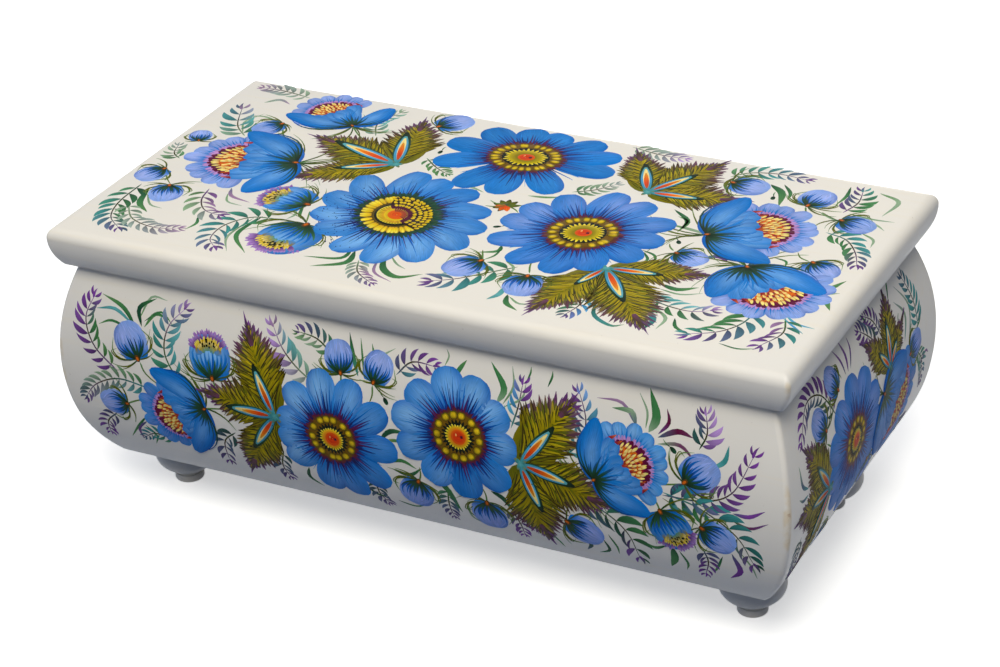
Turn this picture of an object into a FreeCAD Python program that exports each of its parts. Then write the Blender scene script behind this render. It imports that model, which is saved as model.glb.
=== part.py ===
import FreeCAD
import Part
import math
import os

# A painted wooden casket: a bombe case of mitred walls on a moulded base board, four turned
# bun feet, and an overhanging lid on two small brass butt hinges at the back.
# Frame: X runs along the length, -Y is the front, +Z is up, and the origin lies on the
# floor under the middle of the case. All sizes are in millimetres.

# Case
case_length = 235.6
case_width = 112.8
case_height = 71.0
wall_thickness = 8.0
bulge = 7.6
bottom_inset = 4.4
widest_depth_share = 0.48
haunch_depth_share = 0.70
case_corner_radius = 1.6
case_arris_radius = 1.2
mouth_chamfer = 0.5

# Base board
base_thickness = 9.0
field_height = 2.5
field_clearance = 0.15

# Lid
lid_overhang = 7.2
lid_edge_height = 9.6
lid_edge_inset = 3.2
lid_top_round = 3.4
lid_corner_radius = 1.5
panel_thickness = 4.0
panel_clearance = 0.7
panel_chamfer = 0.8

# Turned feet
foot_end_inset = 16.3
foot_side_inset = 23.4
pad_radius = 4.9
pad_height = 2.6
pad_round = 0.7
foot_neck_radius = 4.3
foot_neck_height = 1.2
bun_radius = 10.7
bun_half_height = 7.2
collar_radius = 5.6
collar_height = 1.7
tenon_radius = 3.5
tenon_length = 6.0
tenon_chamfer = 0.6
tenon_clearance = 0.05
tenon_end_gap = 0.5

# Butt hinges
hinge_end_inset = 47.8
hinge_length = 22.0
knuckle_count = 3
knuckle_radius = 1.7
knuckle_gap = 0.2
knuckle_wall_gap = 0.4
leaf_thickness = 0.9
leaf_gap = 0.1
leaf_setback = 1.4
hinge_clearance = 0.3
mortise_clearance = 0.1
pin_radius = 0.8
pin_head_radius = 1.3
pin_head_length = 0.5
pin_running_clearance = 0.05

# Hinge screws
screw_spacing = 13.0
screw_length = 6.0
screw_head_radius = 1.4
screw_head_depth = 0.6
screw_shank_radius = 0.75
screw_clearance = 0.03
screw_slot_width = 0.35
screw_slot_depth = 0.3

# One overrun serves every cut
overrun = 2.0

# Levels and half sizes worked out from the sizes above
neck_turn = math.acos(foot_neck_radius / bun_radius)
collar_turn = math.acos(collar_radius / bun_radius)
bun_z = pad_height + foot_neck_height + bun_half_height * math.sin(neck_turn)
collar_z = bun_z + bun_half_height * math.sin(collar_turn)
base_z = collar_z + collar_height
joint_z = base_z + case_height
base_top_z = base_z + base_thickness
floor_z = base_top_z + field_height
half_length = case_length / 2
half_width = case_width / 2
inner_half_length = half_length - wall_thickness
inner_half_width = half_width - wall_thickness
pin_y = half_width + knuckle_wall_gap + knuckle_radius
leaf_front_y = inner_half_width + leaf_setback
screw_y = (leaf_front_y + half_width) / 2


def vector(x, y, z):
    return FreeCAD.Vector(x, y, z)


def box(low, high):
    """A box between two corners."""
    sides = [high[i] - low[i] for i in range(3)]
    return Part.makeBox(sides[0], sides[1], sides[2], vector(*low))


def edge(points):
    """A line through two points, or an arc through three."""
    if len(points) == 2:
        return Part.makeLine(points[0], points[1])
    return Part.Arc(points[0], points[1], points[2]).toShape()


def moulded_prism(half, curves, place, reach):
    """A prism whose two sides follow the curves, which are lists of (outward, height)
    points from the bottom up, counted from the half size."""
    right = [edge([place(half + out, z) for out, z in curve]) for curve in curves]
    left = [edge([place(-half - out, z) for out, z in curve]) for curve in curves]
    low_out, low_z = curves[0][0]
    high_out, high_z = curves[-1][-1]
    bottom = edge([place(-half - low_out, low_z), place(half + low_out, low_z)])
    top = edge([place(-half - high_out, high_z), place(half + high_out, high_z)])
    outline = Part.Wire(Part.sortEdges([bottom, *right, top, *left])[0])
    face = Part.Face(outline)
    face.translate(reach * -0.5)
    return face.extrude(reach)


def moulded_block(half_x, half_y, curves):
    """A block with the same moulded side on all four faces, which meet in mitred corners."""
    reach = 2 * (max(half_x, half_y) + bulge + lid_overhang + overrun)
    along_y = moulded_prism(half_x, curves, lambda u, z: vector(u, 0, z), vector(0, reach, 0))
    along_x = moulded_prism(half_y, curves, lambda u, z: vector(0, u, z), vector(reach, 0, 0))
    return along_y.common(along_x)


def corner_edges(block):
    """The edges of the four corners: the middle of every other edge lies on a mid plane."""
    return [e for e in block.Edges if min(abs(e.CenterOfMass.x), abs(e.CenterOfMass.y)) > wall_thickness]


def bottom_edges(block):
    """The edges round the lowest face."""
    return min(block.Faces, key=lambda face: face.CenterOfMass.z).Edges


def case_curves():
    """The bombe side: an arc from the joint over the widest line to the haunch, and a tighter
    arc, tangent to it, that tucks in under the case."""
    widest_depth = widest_depth_share * case_height
    haunch_depth = haunch_depth_share * case_height
    upper_radius = (widest_depth**2 + bulge**2) / (2 * bulge)
    below_widest = haunch_depth - widest_depth
    haunch_out = bulge - upper_radius + math.sqrt(upper_radius**2 - below_widest**2)
    turn = math.asin(below_widest / upper_radius)
    inward = (-math.cos(turn), math.sin(turn))
    haunch = (haunch_out, joint_z - haunch_depth)
    bottom = (-bottom_inset, base_z)
    step = (bottom[0] - haunch[0], bottom[1] - haunch[1])
    along = step[0] * inward[0] + step[1] * inward[1]
    lower_radius = (step[0] ** 2 + step[1] ** 2) / (2 * along)
    centre = (haunch[0] + lower_radius * inward[0], haunch[1] + lower_radius * inward[1])
    end_angle = math.atan2(bottom[1] - centre[1], bottom[0] - centre[0])
    mid_angle = (end_angle - turn) / 2
    middle = (centre[0] + lower_radius * math.cos(mid_angle), centre[1] + lower_radius * math.sin(mid_angle))
    widest = (bulge, joint_z - widest_depth)
    return [[bottom, middle, haunch], [haunch, widest, (0, joint_z)]]


def lid_curves():
    """The lid's side: an arc that swells from the underside to the widest line, and a quarter
    round up to the flat top."""
    radius = (lid_edge_height**2 + lid_edge_inset**2) / (2 * lid_edge_inset)
    half_turn = math.asin(lid_edge_height / radius) / 2
    widest_z = joint_z + lid_edge_height
    swell = (radius * (math.cos(half_turn) - 1), widest_z - radius * math.sin(half_turn))
    round_side = lid_top_round * math.sin(math.pi / 4)
    quarter = (round_side - lid_top_round, widest_z + round_side)
    return [
        [(-lid_edge_inset, joint_z), swell, (0, widest_z)],
        [(0, widest_z), quarter, (-lid_top_round, widest_z + lid_top_round)],
    ]


def case_block():
    """The whole case before it is cut into walls and base, with its mouth chamfered inside."""
    block = moulded_block(half_length, half_width, case_curves())
    block = block.makeFillet(case_corner_radius, corner_edges(block))
    block = block.makeFillet(case_arris_radius, bottom_edges(block))
    flare = [[(0, joint_z - mouth_chamfer), (mouth_chamfer, joint_z)]]
    return block.cut(moulded_block(inner_half_length, inner_half_width, flare))


def wall_wedge(along_x, side):
    """The plan of one wall, cut at 45 degrees at both ends, as a tall prism."""
    spread = bulge + overrun
    outer_x, outer_y = half_length + spread, half_width + spread
    if along_x:
        plan = [
            (-outer_x, side * outer_y),
            (outer_x, side * outer_y),
            (inner_half_length, side * inner_half_width),
            (-inner_half_length, side * inner_half_width),
        ]
    else:
        plan = [
            (side * outer_x, -outer_y),
            (side * outer_x, outer_y),
            (side * inner_half_length, inner_half_width),
            (side * inner_half_length, -inner_half_width),
        ]
    corners = [vector(x, y, base_top_z) for x, y in plan]
    face = Part.Face(Part.makePolygon([*corners, corners[0]]))
    return face.extrude(vector(0, 0, case_height))


def base_board(block):
    """The base board with its moulded edge, a raised field between the walls and four blind
    holes for the feet."""
    reach_x, reach_y = half_length + bulge + overrun, half_width + bulge + overrun
    board = block.common(box((-reach_x, -reach_y, base_z - overrun), (reach_x, reach_y, base_top_z)))
    field_x, field_y = inner_half_length - field_clearance, inner_half_width - field_clearance
    board = board.fuse(box((-field_x, -field_y, base_z + base_thickness / 2), (field_x, field_y, floor_z)))
    for x, y in foot_places().values():
        hole = Part.makeCylinder(
            tenon_radius + tenon_clearance,
            overrun + tenon_length + tenon_end_gap,
            vector(x, y, base_z - overrun),
        )
        board = board.cut(hole)
    return board.removeSplitter()


def foot_places():
    """Each foot's name and the place of its axis."""
    places = {}
    for depth_name, side_y in (("front", -1), ("back", 1)):
        for side_name, side_x in (("left", -1), ("right", 1)):
            places[f"foot_{depth_name}_{side_name}"] = (
                side_x * (half_length - foot_end_inset),
                side_y * (half_width - foot_side_inset),
            )
    return places


def foot():
    """A turned bun foot in one piece: pad, bun, collar and the tenon that is glued in the board."""
    tenon_z = base_z + tenon_length
    corner = pad_round * math.sin(math.pi / 4)
    ellipse = Part.Ellipse(vector(bun_radius, 0, bun_z), vector(0, 0, bun_z + bun_half_height), vector(0, 0, bun_z))
    lower = [
        (foot_neck_radius, pad_height + foot_neck_height),
        (foot_neck_radius, pad_height),
        (pad_radius, pad_height),
        (pad_radius, pad_round),
    ]
    pad_centre_r = pad_radius - pad_round
    pad_arc = Part.Arc(
        vector(pad_radius, 0, pad_round),
        vector(pad_centre_r + corner, 0, pad_round - corner),
        vector(pad_centre_r, 0, 0),
    )
    upper = [
        (pad_centre_r, 0),
        (0, 0),
        (0, tenon_z),
        (tenon_radius - tenon_chamfer, tenon_z),
        (tenon_radius, tenon_z - tenon_chamfer),
        (tenon_radius, base_z),
        (collar_radius, base_z),
        (collar_radius, collar_z),
    ]
    edges = [
        Part.ArcOfEllipse(ellipse, -neck_turn, collar_turn).toShape(),
        *Part.makePolygon([vector(r, 0, z) for r, z in lower]).Edges,
        pad_arc.toShape(),
        *Part.makePolygon([vector(r, 0, z) for r, z in upper]).Edges,
    ]
    face = Part.Face(Part.Wire(Part.sortEdges(edges)[0]))
    return face.revolve(vector(0, 0, 0), vector(0, 0, 1), 360)


def hinge_places():
    """Each hinge's name and the middle of its length."""
    place = half_length - hinge_end_inset
    return {"hinge_left": -place, "hinge_right": place}


def knuckle_spans(x, of_lid):
    """The spans along X of the knuckles of one leaf: the case leaf has the outer ones."""
    pitch = hinge_length / knuckle_count
    spans = []
    for i in range(knuckle_count):
        if (i % 2 == 1) == of_lid:
            low = x - hinge_length / 2 + i * pitch
            low_gap = knuckle_gap / 2 if i > 0 else 0
            high_gap = knuckle_gap / 2 if i < knuckle_count - 1 else 0
            spans.append((low + low_gap, low + pitch - high_gap))
    return spans


def rod(x_low, x_high, radius):
    """A round rod on the hinge axis."""
    return Part.makeCylinder(radius, x_high - x_low, vector(x_low, pin_y, joint_z), vector(1, 0, 0))


def leaf_levels(of_lid):
    """The heights of a leaf's inner and outer faces."""
    side = 1 if of_lid else -1
    return joint_z + side * leaf_gap / 2, joint_z + side * (leaf_gap / 2 + leaf_thickness)


def screw_places(x):
    return [x - screw_spacing / 2, x + screw_spacing / 2]


def screw_body(x, of_lid, clearance, length):
    """A countersunk screw without its slot, or the hole for one, with its head at the inner
    face of its leaf."""
    side = 1 if of_lid else -1
    face_z = leaf_levels(of_lid)[0]
    axis = vector(0, 0, side)
    start = vector(x, screw_y, face_z)
    head = Part.makeCone(screw_head_radius + clearance, screw_shank_radius + clearance, screw_head_depth, start, axis)
    shank = Part.makeCylinder(screw_shank_radius + clearance, length, start, axis)
    return head.fuse(shank)


def hinge_leaf(x, of_lid):
    """One leaf with its knuckles, bored for the pin and countersunk for two screws."""
    inner_z, outer_z = leaf_levels(of_lid)
    low_z, high_z = min(inner_z, outer_z), max(inner_z, outer_z)
    leaf = box((x - hinge_length / 2, leaf_front_y, low_z), (x + hinge_length / 2, pin_y, high_z))
    for low, high in knuckle_spans(x, not of_lid):
        gap = box(
            (low - knuckle_gap, pin_y - knuckle_radius - knuckle_gap, joint_z - knuckle_radius),
            (high + knuckle_gap, pin_y + overrun, joint_z + knuckle_radius),
        )
        leaf = leaf.cut(gap)
    for low, high in knuckle_spans(x, of_lid):
        leaf = leaf.fuse(rod(low, high, knuckle_radius))
    bore_radius = pin_radius + (pin_running_clearance if of_lid else 0)
    leaf = leaf.cut(rod(x - hinge_length, x + hinge_length, bore_radius))
    for screw_x in screw_places(x):
        leaf = leaf.cut(screw_body(screw_x, of_lid, screw_clearance, screw_length))
    return leaf.removeSplitter()


def hinge_pin(x):
    """The fixed pin with a small head at each end."""
    low, high = x - hinge_length / 2, x + hinge_length / 2
    pin = rod(low, high, pin_radius)
    pin = pin.fuse(rod(low - pin_head_length, low, pin_head_radius))
    return pin.fuse(rod(high, high + pin_head_length, pin_head_radius)).removeSplitter()


def hinge_screws(x, of_lid):
    """The two slotted screws of one leaf."""
    side = 1 if of_lid else -1
    face_z = leaf_levels(of_lid)[0]
    slot_z = [face_z, face_z + side * screw_slot_depth]
    screws = []
    for screw_x in screw_places(x):
        slot = box(
            (screw_x - screw_head_radius, screw_y - screw_slot_width / 2, min(slot_z)),
            (screw_x + screw_head_radius, screw_y + screw_slot_width / 2, max(slot_z)),
        )
        screws.append(screw_body(screw_x, of_lid, 0, screw_length).cut(slot))
    return Part.makeCompound(screws)


def cut_for_hinges(wood, of_lid):
    """The wood with the mortise of each leaf and the holes of its screws. In the lid it is also
    notched at the back for the knuckles."""
    outer_z = leaf_levels(of_lid)[1]
    for x in hinge_places().values():
        reach = hinge_length / 2 + mortise_clearance
        mortise = box(
            (x - reach, leaf_front_y - mortise_clearance, min(outer_z, joint_z)),
            (x + reach, half_width + lid_overhang + overrun, max(outer_z, joint_z)),
        )
        wood = wood.cut(mortise)
        if of_lid:
            reach = hinge_length / 2 + pin_head_length + hinge_clearance
            notch = box(
                (x - reach, pin_y - knuckle_radius - hinge_clearance, joint_z),
                (x + reach, half_width + lid_overhang + overrun, joint_z + knuckle_radius + hinge_clearance),
            )
            wood = wood.cut(notch)
        for screw_x in screw_places(x):
            wood = wood.cut(screw_body(screw_x, of_lid, screw_clearance, screw_length + screw_clearance))
    return wood


def lid_board():
    block = moulded_block(half_length + lid_overhang, half_width + lid_overhang, lid_curves())
    block = block.makeFillet(lid_corner_radius, corner_edges(block))
    return cut_for_hinges(block, True)


def locating_panel():
    """The thin panel under the lid that drops between the walls and centres it."""
    reach_x, reach_y = inner_half_length - panel_clearance, inner_half_width - panel_clearance
    low_z = joint_z - panel_thickness
    panel = box((-reach_x, -reach_y, low_z), (reach_x, reach_y, joint_z))
    return panel.makeChamfer(panel_chamfer, bottom_edges(panel))


def make_parts():
    """Every piece of the casket by name."""
    block = case_block()
    nodes = {
        "base_board": base_board(block),
        "front_wall": block.common(wall_wedge(True, -1)),
        "back_wall": cut_for_hinges(block.common(wall_wedge(True, 1)), False),
        "left_end_wall": block.common(wall_wedge(False, -1)),
        "right_end_wall": block.common(wall_wedge(False, 1)),
        "lid_board": lid_board(),
        "lid_locating_panel": locating_panel(),
    }
    for name, (x, y) in foot_places().items():
        nodes[name] = foot().translated(vector(x, y, 0))
    for name, x in hinge_places().items():
        nodes[f"{name}_case_leaf"] = hinge_leaf(x, False)
        nodes[f"{name}_lid_leaf"] = hinge_leaf(x, True)
        nodes[f"{name}_pin"] = hinge_pin(x)
        nodes[f"{name}_case_screws"] = hinge_screws(x, False)
        nodes[f"{name}_lid_screws"] = hinge_screws(x, True)
    return nodes


os.makedirs("parts", exist_ok=True)
for node_name, shape in make_parts().items():
    shape.exportStep(os.path.join("parts", node_name + ".step"))
    print(node_name, len(shape.Solids), "solid(s)", round(shape.Volume, 1), "mm3", shape.isValid())
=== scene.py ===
import math

import bpy
import numpy as np
from mathutils import Color, Matrix, Vector


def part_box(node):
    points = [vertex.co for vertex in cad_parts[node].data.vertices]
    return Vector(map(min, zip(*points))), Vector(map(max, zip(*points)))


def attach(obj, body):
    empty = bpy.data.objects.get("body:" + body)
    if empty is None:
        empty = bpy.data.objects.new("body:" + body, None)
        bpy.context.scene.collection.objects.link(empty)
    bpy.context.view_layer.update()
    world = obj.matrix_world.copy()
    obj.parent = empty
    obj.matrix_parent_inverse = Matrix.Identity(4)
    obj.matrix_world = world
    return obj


# The looks of a painted casket: ivory lacquer on wood, brass hinges, and folk flowers whose every
# brush stroke is a thin mesh laid on the wood. Places on a painted face are complex numbers in
# millimetres, the real part to the right and the imaginary part up the face. The paints of a
# stroke are given as words, from its start to its end.

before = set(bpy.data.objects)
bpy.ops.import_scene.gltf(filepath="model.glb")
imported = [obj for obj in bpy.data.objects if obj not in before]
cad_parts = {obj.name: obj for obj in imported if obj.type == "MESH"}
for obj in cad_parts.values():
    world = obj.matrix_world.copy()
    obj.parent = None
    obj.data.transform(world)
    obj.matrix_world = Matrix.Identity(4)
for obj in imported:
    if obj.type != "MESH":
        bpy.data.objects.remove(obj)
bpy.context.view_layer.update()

MM = 0.001
SEED = 7

# Camera, from the place and turn that give the photograph's view
CAMERA_PLACE = (0.37369, -0.69787, 0.49004)
CAMERA_DOWN, CAMERA_YAW, CAMERA_ROLL = (math.radians(a) for a in (28.598, -28.093, -2.847))
CAMERA_LENS, CAMERA_SENSOR = 101.52, 36.0

# Levels and edges that the wood's finish follows, in metres
JOINT = 0.089228
INNER_FLOOR = 0.029728
EDGE_X, EDGE_Y, EDGE_BAND = 0.1254, 0.0640, 0.0035

# Brush strokes, in millimetres
SIDE_RISE = 75.0
OUTLINE_STEP = 0.4
LEAST_WIDTH = 0.05
TRAIL_STEP = 1.6
STROKE_STEP = 0.0008
STROKE_LEVELS, PETAL_LEVELS = 8, 20
GROUP_STEP = {"lid": 0.001, "case": 0.009}
EDGE_SHARE = 0.9
PILLOW = 0.22
PETAL_ROWS, PETAL_COLUMNS = 15, 13
CURL_ROWS, CURL_COLUMNS = 17, 11
DAB_ROWS, DAB_COLUMNS, LINE_COLUMNS = 10, 5, 4
ROUND = (0.5, 0.5)

# Motifs
FERN_GAP, FERN_SLANT, FERN_WIDTH, FERN_ROWS = 0.54, 46, 0.31, 8
BELL_TURN, BELL_LOBES = 88, 9

# Paints as sRGB hex
PALETTE = dict(
    azure="0a74ca", blue="2f8ad8", pale_blue="86bdf0", lilac="7b9fe4", pale_lilac="a6b6f0",
    deep_blue="1458b4", navy="16307c", ink="1c1848", maroon="5a1038", wine="7c1430", pink="c887c0",
    violet="7a3f9c", purple="6c4488", mauve="9a7a9e", orchid="b08ccc", brown="5a3a14", tan="70520f",
    umber="3c2410", gold="c8a020", yellow="e6cc1c", lemon="f0e060", cream="f2dc8c", amber="d89820",
    orange="e06a14", red="d23a14", rust="b0561e", olive="857608", moss="5e640c", lime="b09e12",
    bark="40380c", plum="6a3c5c", green="3e7a48", leaf="5a8a50", sage="8aa688", pine="1e4a34",
    black="10180e", teal="3c8c8c", sea="5ea8ac", sky="4a9ad0", slate="4a5e78", grey="8c9a98",
)


def paint(name):
    """A paint of the palette as linear numbers."""
    parts = [int(PALETTE[name][i:i + 2], 16) / 255 for i in (0, 2, 4)]
    return np.array(Color(parts).from_srgb_to_scene_linear())


def mix(first, second, share):
    """Colours between two, where share is an array of any shape."""
    share = np.asarray(share)[..., None]
    return first * (1 - share) + second * share


def ramp(names, shares):
    """Colours along a row of paints."""
    colours = np.array([paint(name) for name in names.split()])
    stops = np.linspace(0, 1, len(colours))
    return np.stack([np.interp(shares, stops, column) for column in colours.T], -1)


def along(paints, s):
    """Colours along strokes: names of paints, or an array with a row of colours for each stroke."""
    if isinstance(paints, str):
        return ramp(paints, s)[None, :, None]
    last = paints.shape[1] - 1
    low = np.minimum((s * last).astype(int), last - 1)
    return mix(paints[:, low], paints[:, low + 1], s * last - low)[:, :, None]


def polar(radius, degrees):
    return radius * np.exp(1j * np.radians(degrees))


def unit(step):
    return step / abs(step)


def between(first, second):
    """The angle between two headings."""
    return abs((first - second + 180) % 360 - 180)


def about(centre, axis=1, wide=1.0, high=1.0):
    """A function for places round a centre, by their distance and by their heading from the axis.
    wide and high stretch the distances along the axis and across it."""
    def at(radius, turn):
        offset = polar(radius, turn)
        return centre + (offset.real * wide + 1j * offset.imag * high) * axis
    return at


def eased(rows):
    """Shares from 0 to 1, close together at both ends, for round ends."""
    even = np.linspace(0, 1, rows)
    return 0.65 * (1 - np.cos(even * math.pi)) / 2 + 0.35 * even


def fade(values, low, high):
    """0 below low, 1 above high, and smooth between."""
    share = np.clip((np.asarray(values) - low) / (high - low), 0, 1)
    return share * share * (3 - 2 * share)


def across(columns):
    """Shares across a stroke, with a narrow steep band along each edge."""
    return np.concatenate([[-1], np.linspace(-EDGE_SHARE, EDGE_SHARE, columns - 2), [1]])


def curve(first, middle, last, s):
    """Places along a curve that sets out from first towards middle and ends at last."""
    return (1 - s)**2 * first + 2 * s * (1 - s) * middle + s**2 * last


def taper(width, s, shape, blunt=0.0):
    """Half widths along a stroke. The two powers of shape set how pointed its ends are, and blunt
    keeps its start from closing to a point."""
    fat = (s + blunt)**shape[0] * (1 - s)**shape[1]
    return width / 2 * fat / fat.max()


def through(points, rows):
    """A smooth line of rows places through the points."""
    points = np.array(points)
    ends = np.concatenate([[2 * points[0] - points[1]], points, [2 * points[-1] - points[-2]]])
    place = np.linspace(0, len(points) - 1, rows)
    first = np.minimum(place.astype(int), len(points) - 2)
    t = place - first
    a, b, c, d = (ends[first + i] for i in range(4))
    return b + t / 2 * (c - a + t * (2 * a - 5 * b + 4 * c - d + t * (3 * (b - c) + d - a)))


def add_object(name, data):
    """A new object in the scene."""
    added = bpy.data.objects.new(name, data)
    bpy.context.scene.collection.objects.link(added)
    return added


# Painted faces


class Face:
    """A face of the casket, level along its width, with one outline up its height."""

    def __init__(self, outward, reach, level, top):
        """reach and level are the outline's distances from the middle and its heights, from the
        bottom up. Places up the face are counted so that its end lies at top."""
        self.outward = np.array([*outward, 0.0])
        self.right = np.array([-outward[1], outward[0], 0.0])
        length = np.cumsum(np.hypot(np.diff(reach), np.diff(level)))
        self.up = np.concatenate([[0], length]) + top - length[-1]
        self.lines = reach, level, np.gradient(reach, self.up), np.gradient(level, self.up)

    def lay(self, place, lift, side, tilt):
        """Points lift millimetres off the face in metres, and normals that lean by tilt to side."""
        reach, level, slope_out, slope_up = (
            np.interp(place.imag[..., None], self.up, line) for line in self.lines)
        rise = np.array([0.0, 0.0, 1.0])
        normal = self.outward * slope_up - rise * slope_out
        point = self.right * place.real[..., None] + self.outward * reach + rise * level
        point = point + normal * lift[..., None]
        lean = self.right * side.real[..., None]
        lean = lean + (self.outward * slope_out + rise * slope_up) * side.imag[..., None]
        normal = normal + lean * tilt[..., None]
        return point * MM, normal / np.linalg.norm(normal, axis=-1, keepdims=True)


def side_face(wall, outward):
    """The outer side of a wall and of the base board's edge below it. The outline is the hull of
    their vertices, seen along the side."""
    nodes = [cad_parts[name].data for name in (wall, "base_board")]
    places = np.concatenate([np.array([v.co for v in node.vertices]) for node in nodes]) / MM
    pairs = np.stack([places[:, 2], places[:, :2] @ np.array(outward)], 1).round(3)
    chain = []
    for level, reach in sorted(set(map(tuple, pairs[pairs[:, 1] > 0].tolist()))):
        while len(chain) > 1:
            (z0, r0), (z1, r1) = chain[-2:]
            if (r1 - r0) * (level - z1) - (z1 - z0) * (reach - r1) > 0:
                break
            chain.pop()
        chain.append((level, reach))
    outline = [chain.pop()]
    for place in reversed(chain[1:]):
        if math.dist(place, outline[-1]) > OUTLINE_STEP:
            outline.append(place)
    level, reach = np.array(outline[::-1]).T
    return Face(outward, reach, level, SIDE_RISE)


def lid_face():
    """The flat top of the lid, with its front edge at the bottom."""
    low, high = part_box("lid_board")
    depth, level = high.y / MM, high.z / MM
    return Face((0, -1), [depth, -depth], [level, level], depth)


# Brush


class Art:
    """Strokes for one piece, in the order in which they are laid, each a little above the last."""

    def __init__(self, name, face, body, lift, seed, mirror):
        self.name, self.face, self.body, self.lift, self.mirror = name, face, body, lift, mirror
        self.rng = np.random.default_rng([SEED, seed])
        self.parts, self.total = [], 0

    def fan(self, low, high, count, stray, whole=False):
        """Headings spread evenly from low to high, or right round, each a little astray."""
        return np.linspace(low, high, count, endpoint=not whole) + self.rng.normal(0, stray, count)

    def lay(self, place, colour, closed=False, levels=STROKE_LEVELS):
        """Lays strokes from their grids of places, place[stroke, row, column]."""
        count, rows, columns = place.shape
        colour = np.broadcast_to(colour, (*place.shape, 3))
        if self.mirror:
            place, colour = -place.conj()[..., ::-1], colour[..., ::-1, :]
        t = across(columns)
        ends = np.ones(rows)
        if not closed:
            ends[[0, -1]] = 0
        lifts = self.lift + STROKE_STEP * (np.arange(count) % levels)
        self.lift += STROKE_STEP * min(count, levels) + GROUP_STEP[self.body]
        height = lifts[:, None, None] * ends[:, None] * (abs(t) < 1)
        span = place[..., :1] - place[..., -1:]
        half = abs(span) / 2
        side = -span / np.maximum(2 * half, LEAST_WIDTH)
        point, normal = self.face.lay(place, height, side, PILLOW * t**3)
        centre = (place[..., 0] + place[..., -1]) / 2
        length = np.concatenate([np.zeros((count, 1)), np.cumsum(abs(np.diff(centre)), axis=1)], 1)
        chance = self.rng.uniform(0, 500, (2, count, 1, 1))
        bristle = half * t + chance[0] + 1j * (length[..., None] + chance[1])
        index = self.total + np.arange(place.size).reshape(place.shape)
        self.total += place.size
        quads = np.stack([index[:, :-1, :-1], index[:, 1:, :-1], index[:, 1:, 1:], index[:, :-1, 1:]], -1)
        solid = [array.reshape(-1, 3) for array in (point, normal, colour.clip(0, 1))]
        self.parts.append([*solid, place.ravel(), bristle.ravel(), quads.reshape(-1, 4)])

    def sweep(self, line, width, colour, columns, levels=STROKE_LEVELS):
        """Strokes along line[stroke, row], reaching width[stroke, row] to each side."""
        ahead = np.gradient(line, axis=1)
        side = 1j * ahead / np.maximum(abs(ahead), 1e-9)
        width = np.maximum(width, LEAST_WIDTH)
        self.lay(line[..., None] + (side * width)[..., None] * across(columns), colour, levels=levels)

    def shades(self, count, rows, columns, vary):
        """Small changes of tone from stroke to stroke and from hair to hair of the brush."""
        whole = self.rng.normal(0, vary, (count, 1, 1))
        hairs = self.rng.normal(0, vary, (count, 1, columns))
        return (1 + whole + 0.6 * hairs * np.linspace(1, 0.5, rows)[:, None])[..., None]

    def dabs(self, start, end, width, paints, bend=0.0, shape=(0.5, 0.8), part=(0.0, 1.0),
             rows=DAB_ROWS, columns=DAB_COLUMNS, vary=0.07):
        """Teardrop strokes from start to end, bent to the left by a share of their length. part is
        the stretch of the whole curve that is painted."""
        start, end, width, bend, first, last = np.broadcast_arrays(
            *(np.atleast_1d(value)[:, None] for value in (start, end, width, bend, *part)))
        s = eased(rows)
        middle = (start + end) / 2 + 1j * (end - start) * bend
        line = curve(start, middle, end, first + (last - first) * s)
        colour = along(paints, s) * self.shades(len(start), rows, columns, vary)
        self.sweep(line, taper(width, s, shape), colour, columns)

    def hairs(self, *places, **how):
        """Dabs that are too thin to need many columns."""
        self.dabs(*places, columns=LINE_COLUMNS, **how)

    def trail(self, points, width, paints, shape=(0.7, 1.1), columns=DAB_COLUMNS):
        """One long stroke through the points."""
        rows = max(9, int(abs(np.diff(points)).sum() / TRAIL_STEP))
        s = np.linspace(0, 1, rows)
        colour = along(paints, s) * self.shades(1, rows, columns, 0.05)
        self.sweep(through(points, rows)[None], taper(width, s, shape), colour, columns)

    def ring(self, at, inner, outer, paints, shift=0.0, turns=(0, 360), rows=49, columns=7):
        """A ring, disc or sector, its paints from the inside out."""
        turn = np.linspace(*turns, rows)[:, None]
        radius = inner + (outer - inner) * (across(columns) + 1) / 2
        colour = ramp(paints, np.linspace(0, 1, columns))
        self.lay((at(radius[::-1], turn) + shift)[None], colour[::-1], closed=True)

    def finish(self, material):
        """Makes the piece and sets it on its body."""
        points, normals, colours, places, bristles, quads = map(np.concatenate, zip(*self.parts))
        mesh = bpy.data.meshes.new(self.name)
        mesh.from_pydata(points.tolist(), [], quads.tolist())
        mesh.polygons.foreach_set("use_smooth", [True] * len(quads))
        low = places.real.min() + 1j * places.imag.min()
        unfolded = (places - low) / max(np.ptp(places.real), np.ptp(places.imag))
        for layer, values in (("OFBake", unfolded), ("bristle", bristles)):
            uv = np.stack([values.real, values.imag], 1)[quads.ravel()]
            mesh.uv_layers.new(name=layer).data.foreach_set("uv", uv.astype(np.float32).ravel())
        shades = np.concatenate([colours, np.ones((len(colours), 1))], 1)
        layer = mesh.color_attributes.new("paint", "FLOAT_COLOR", "POINT")
        layer.data.foreach_set("color", shades.astype(np.float32).ravel())
        mesh.normals_split_custom_set_from_vertices(normals.tolist())
        mesh.materials.append(material)
        piece = add_object(self.name, mesh)
        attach(piece, self.body)


# Motifs

# Distances in a motif are shares of its size, and turns are in degrees


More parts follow.
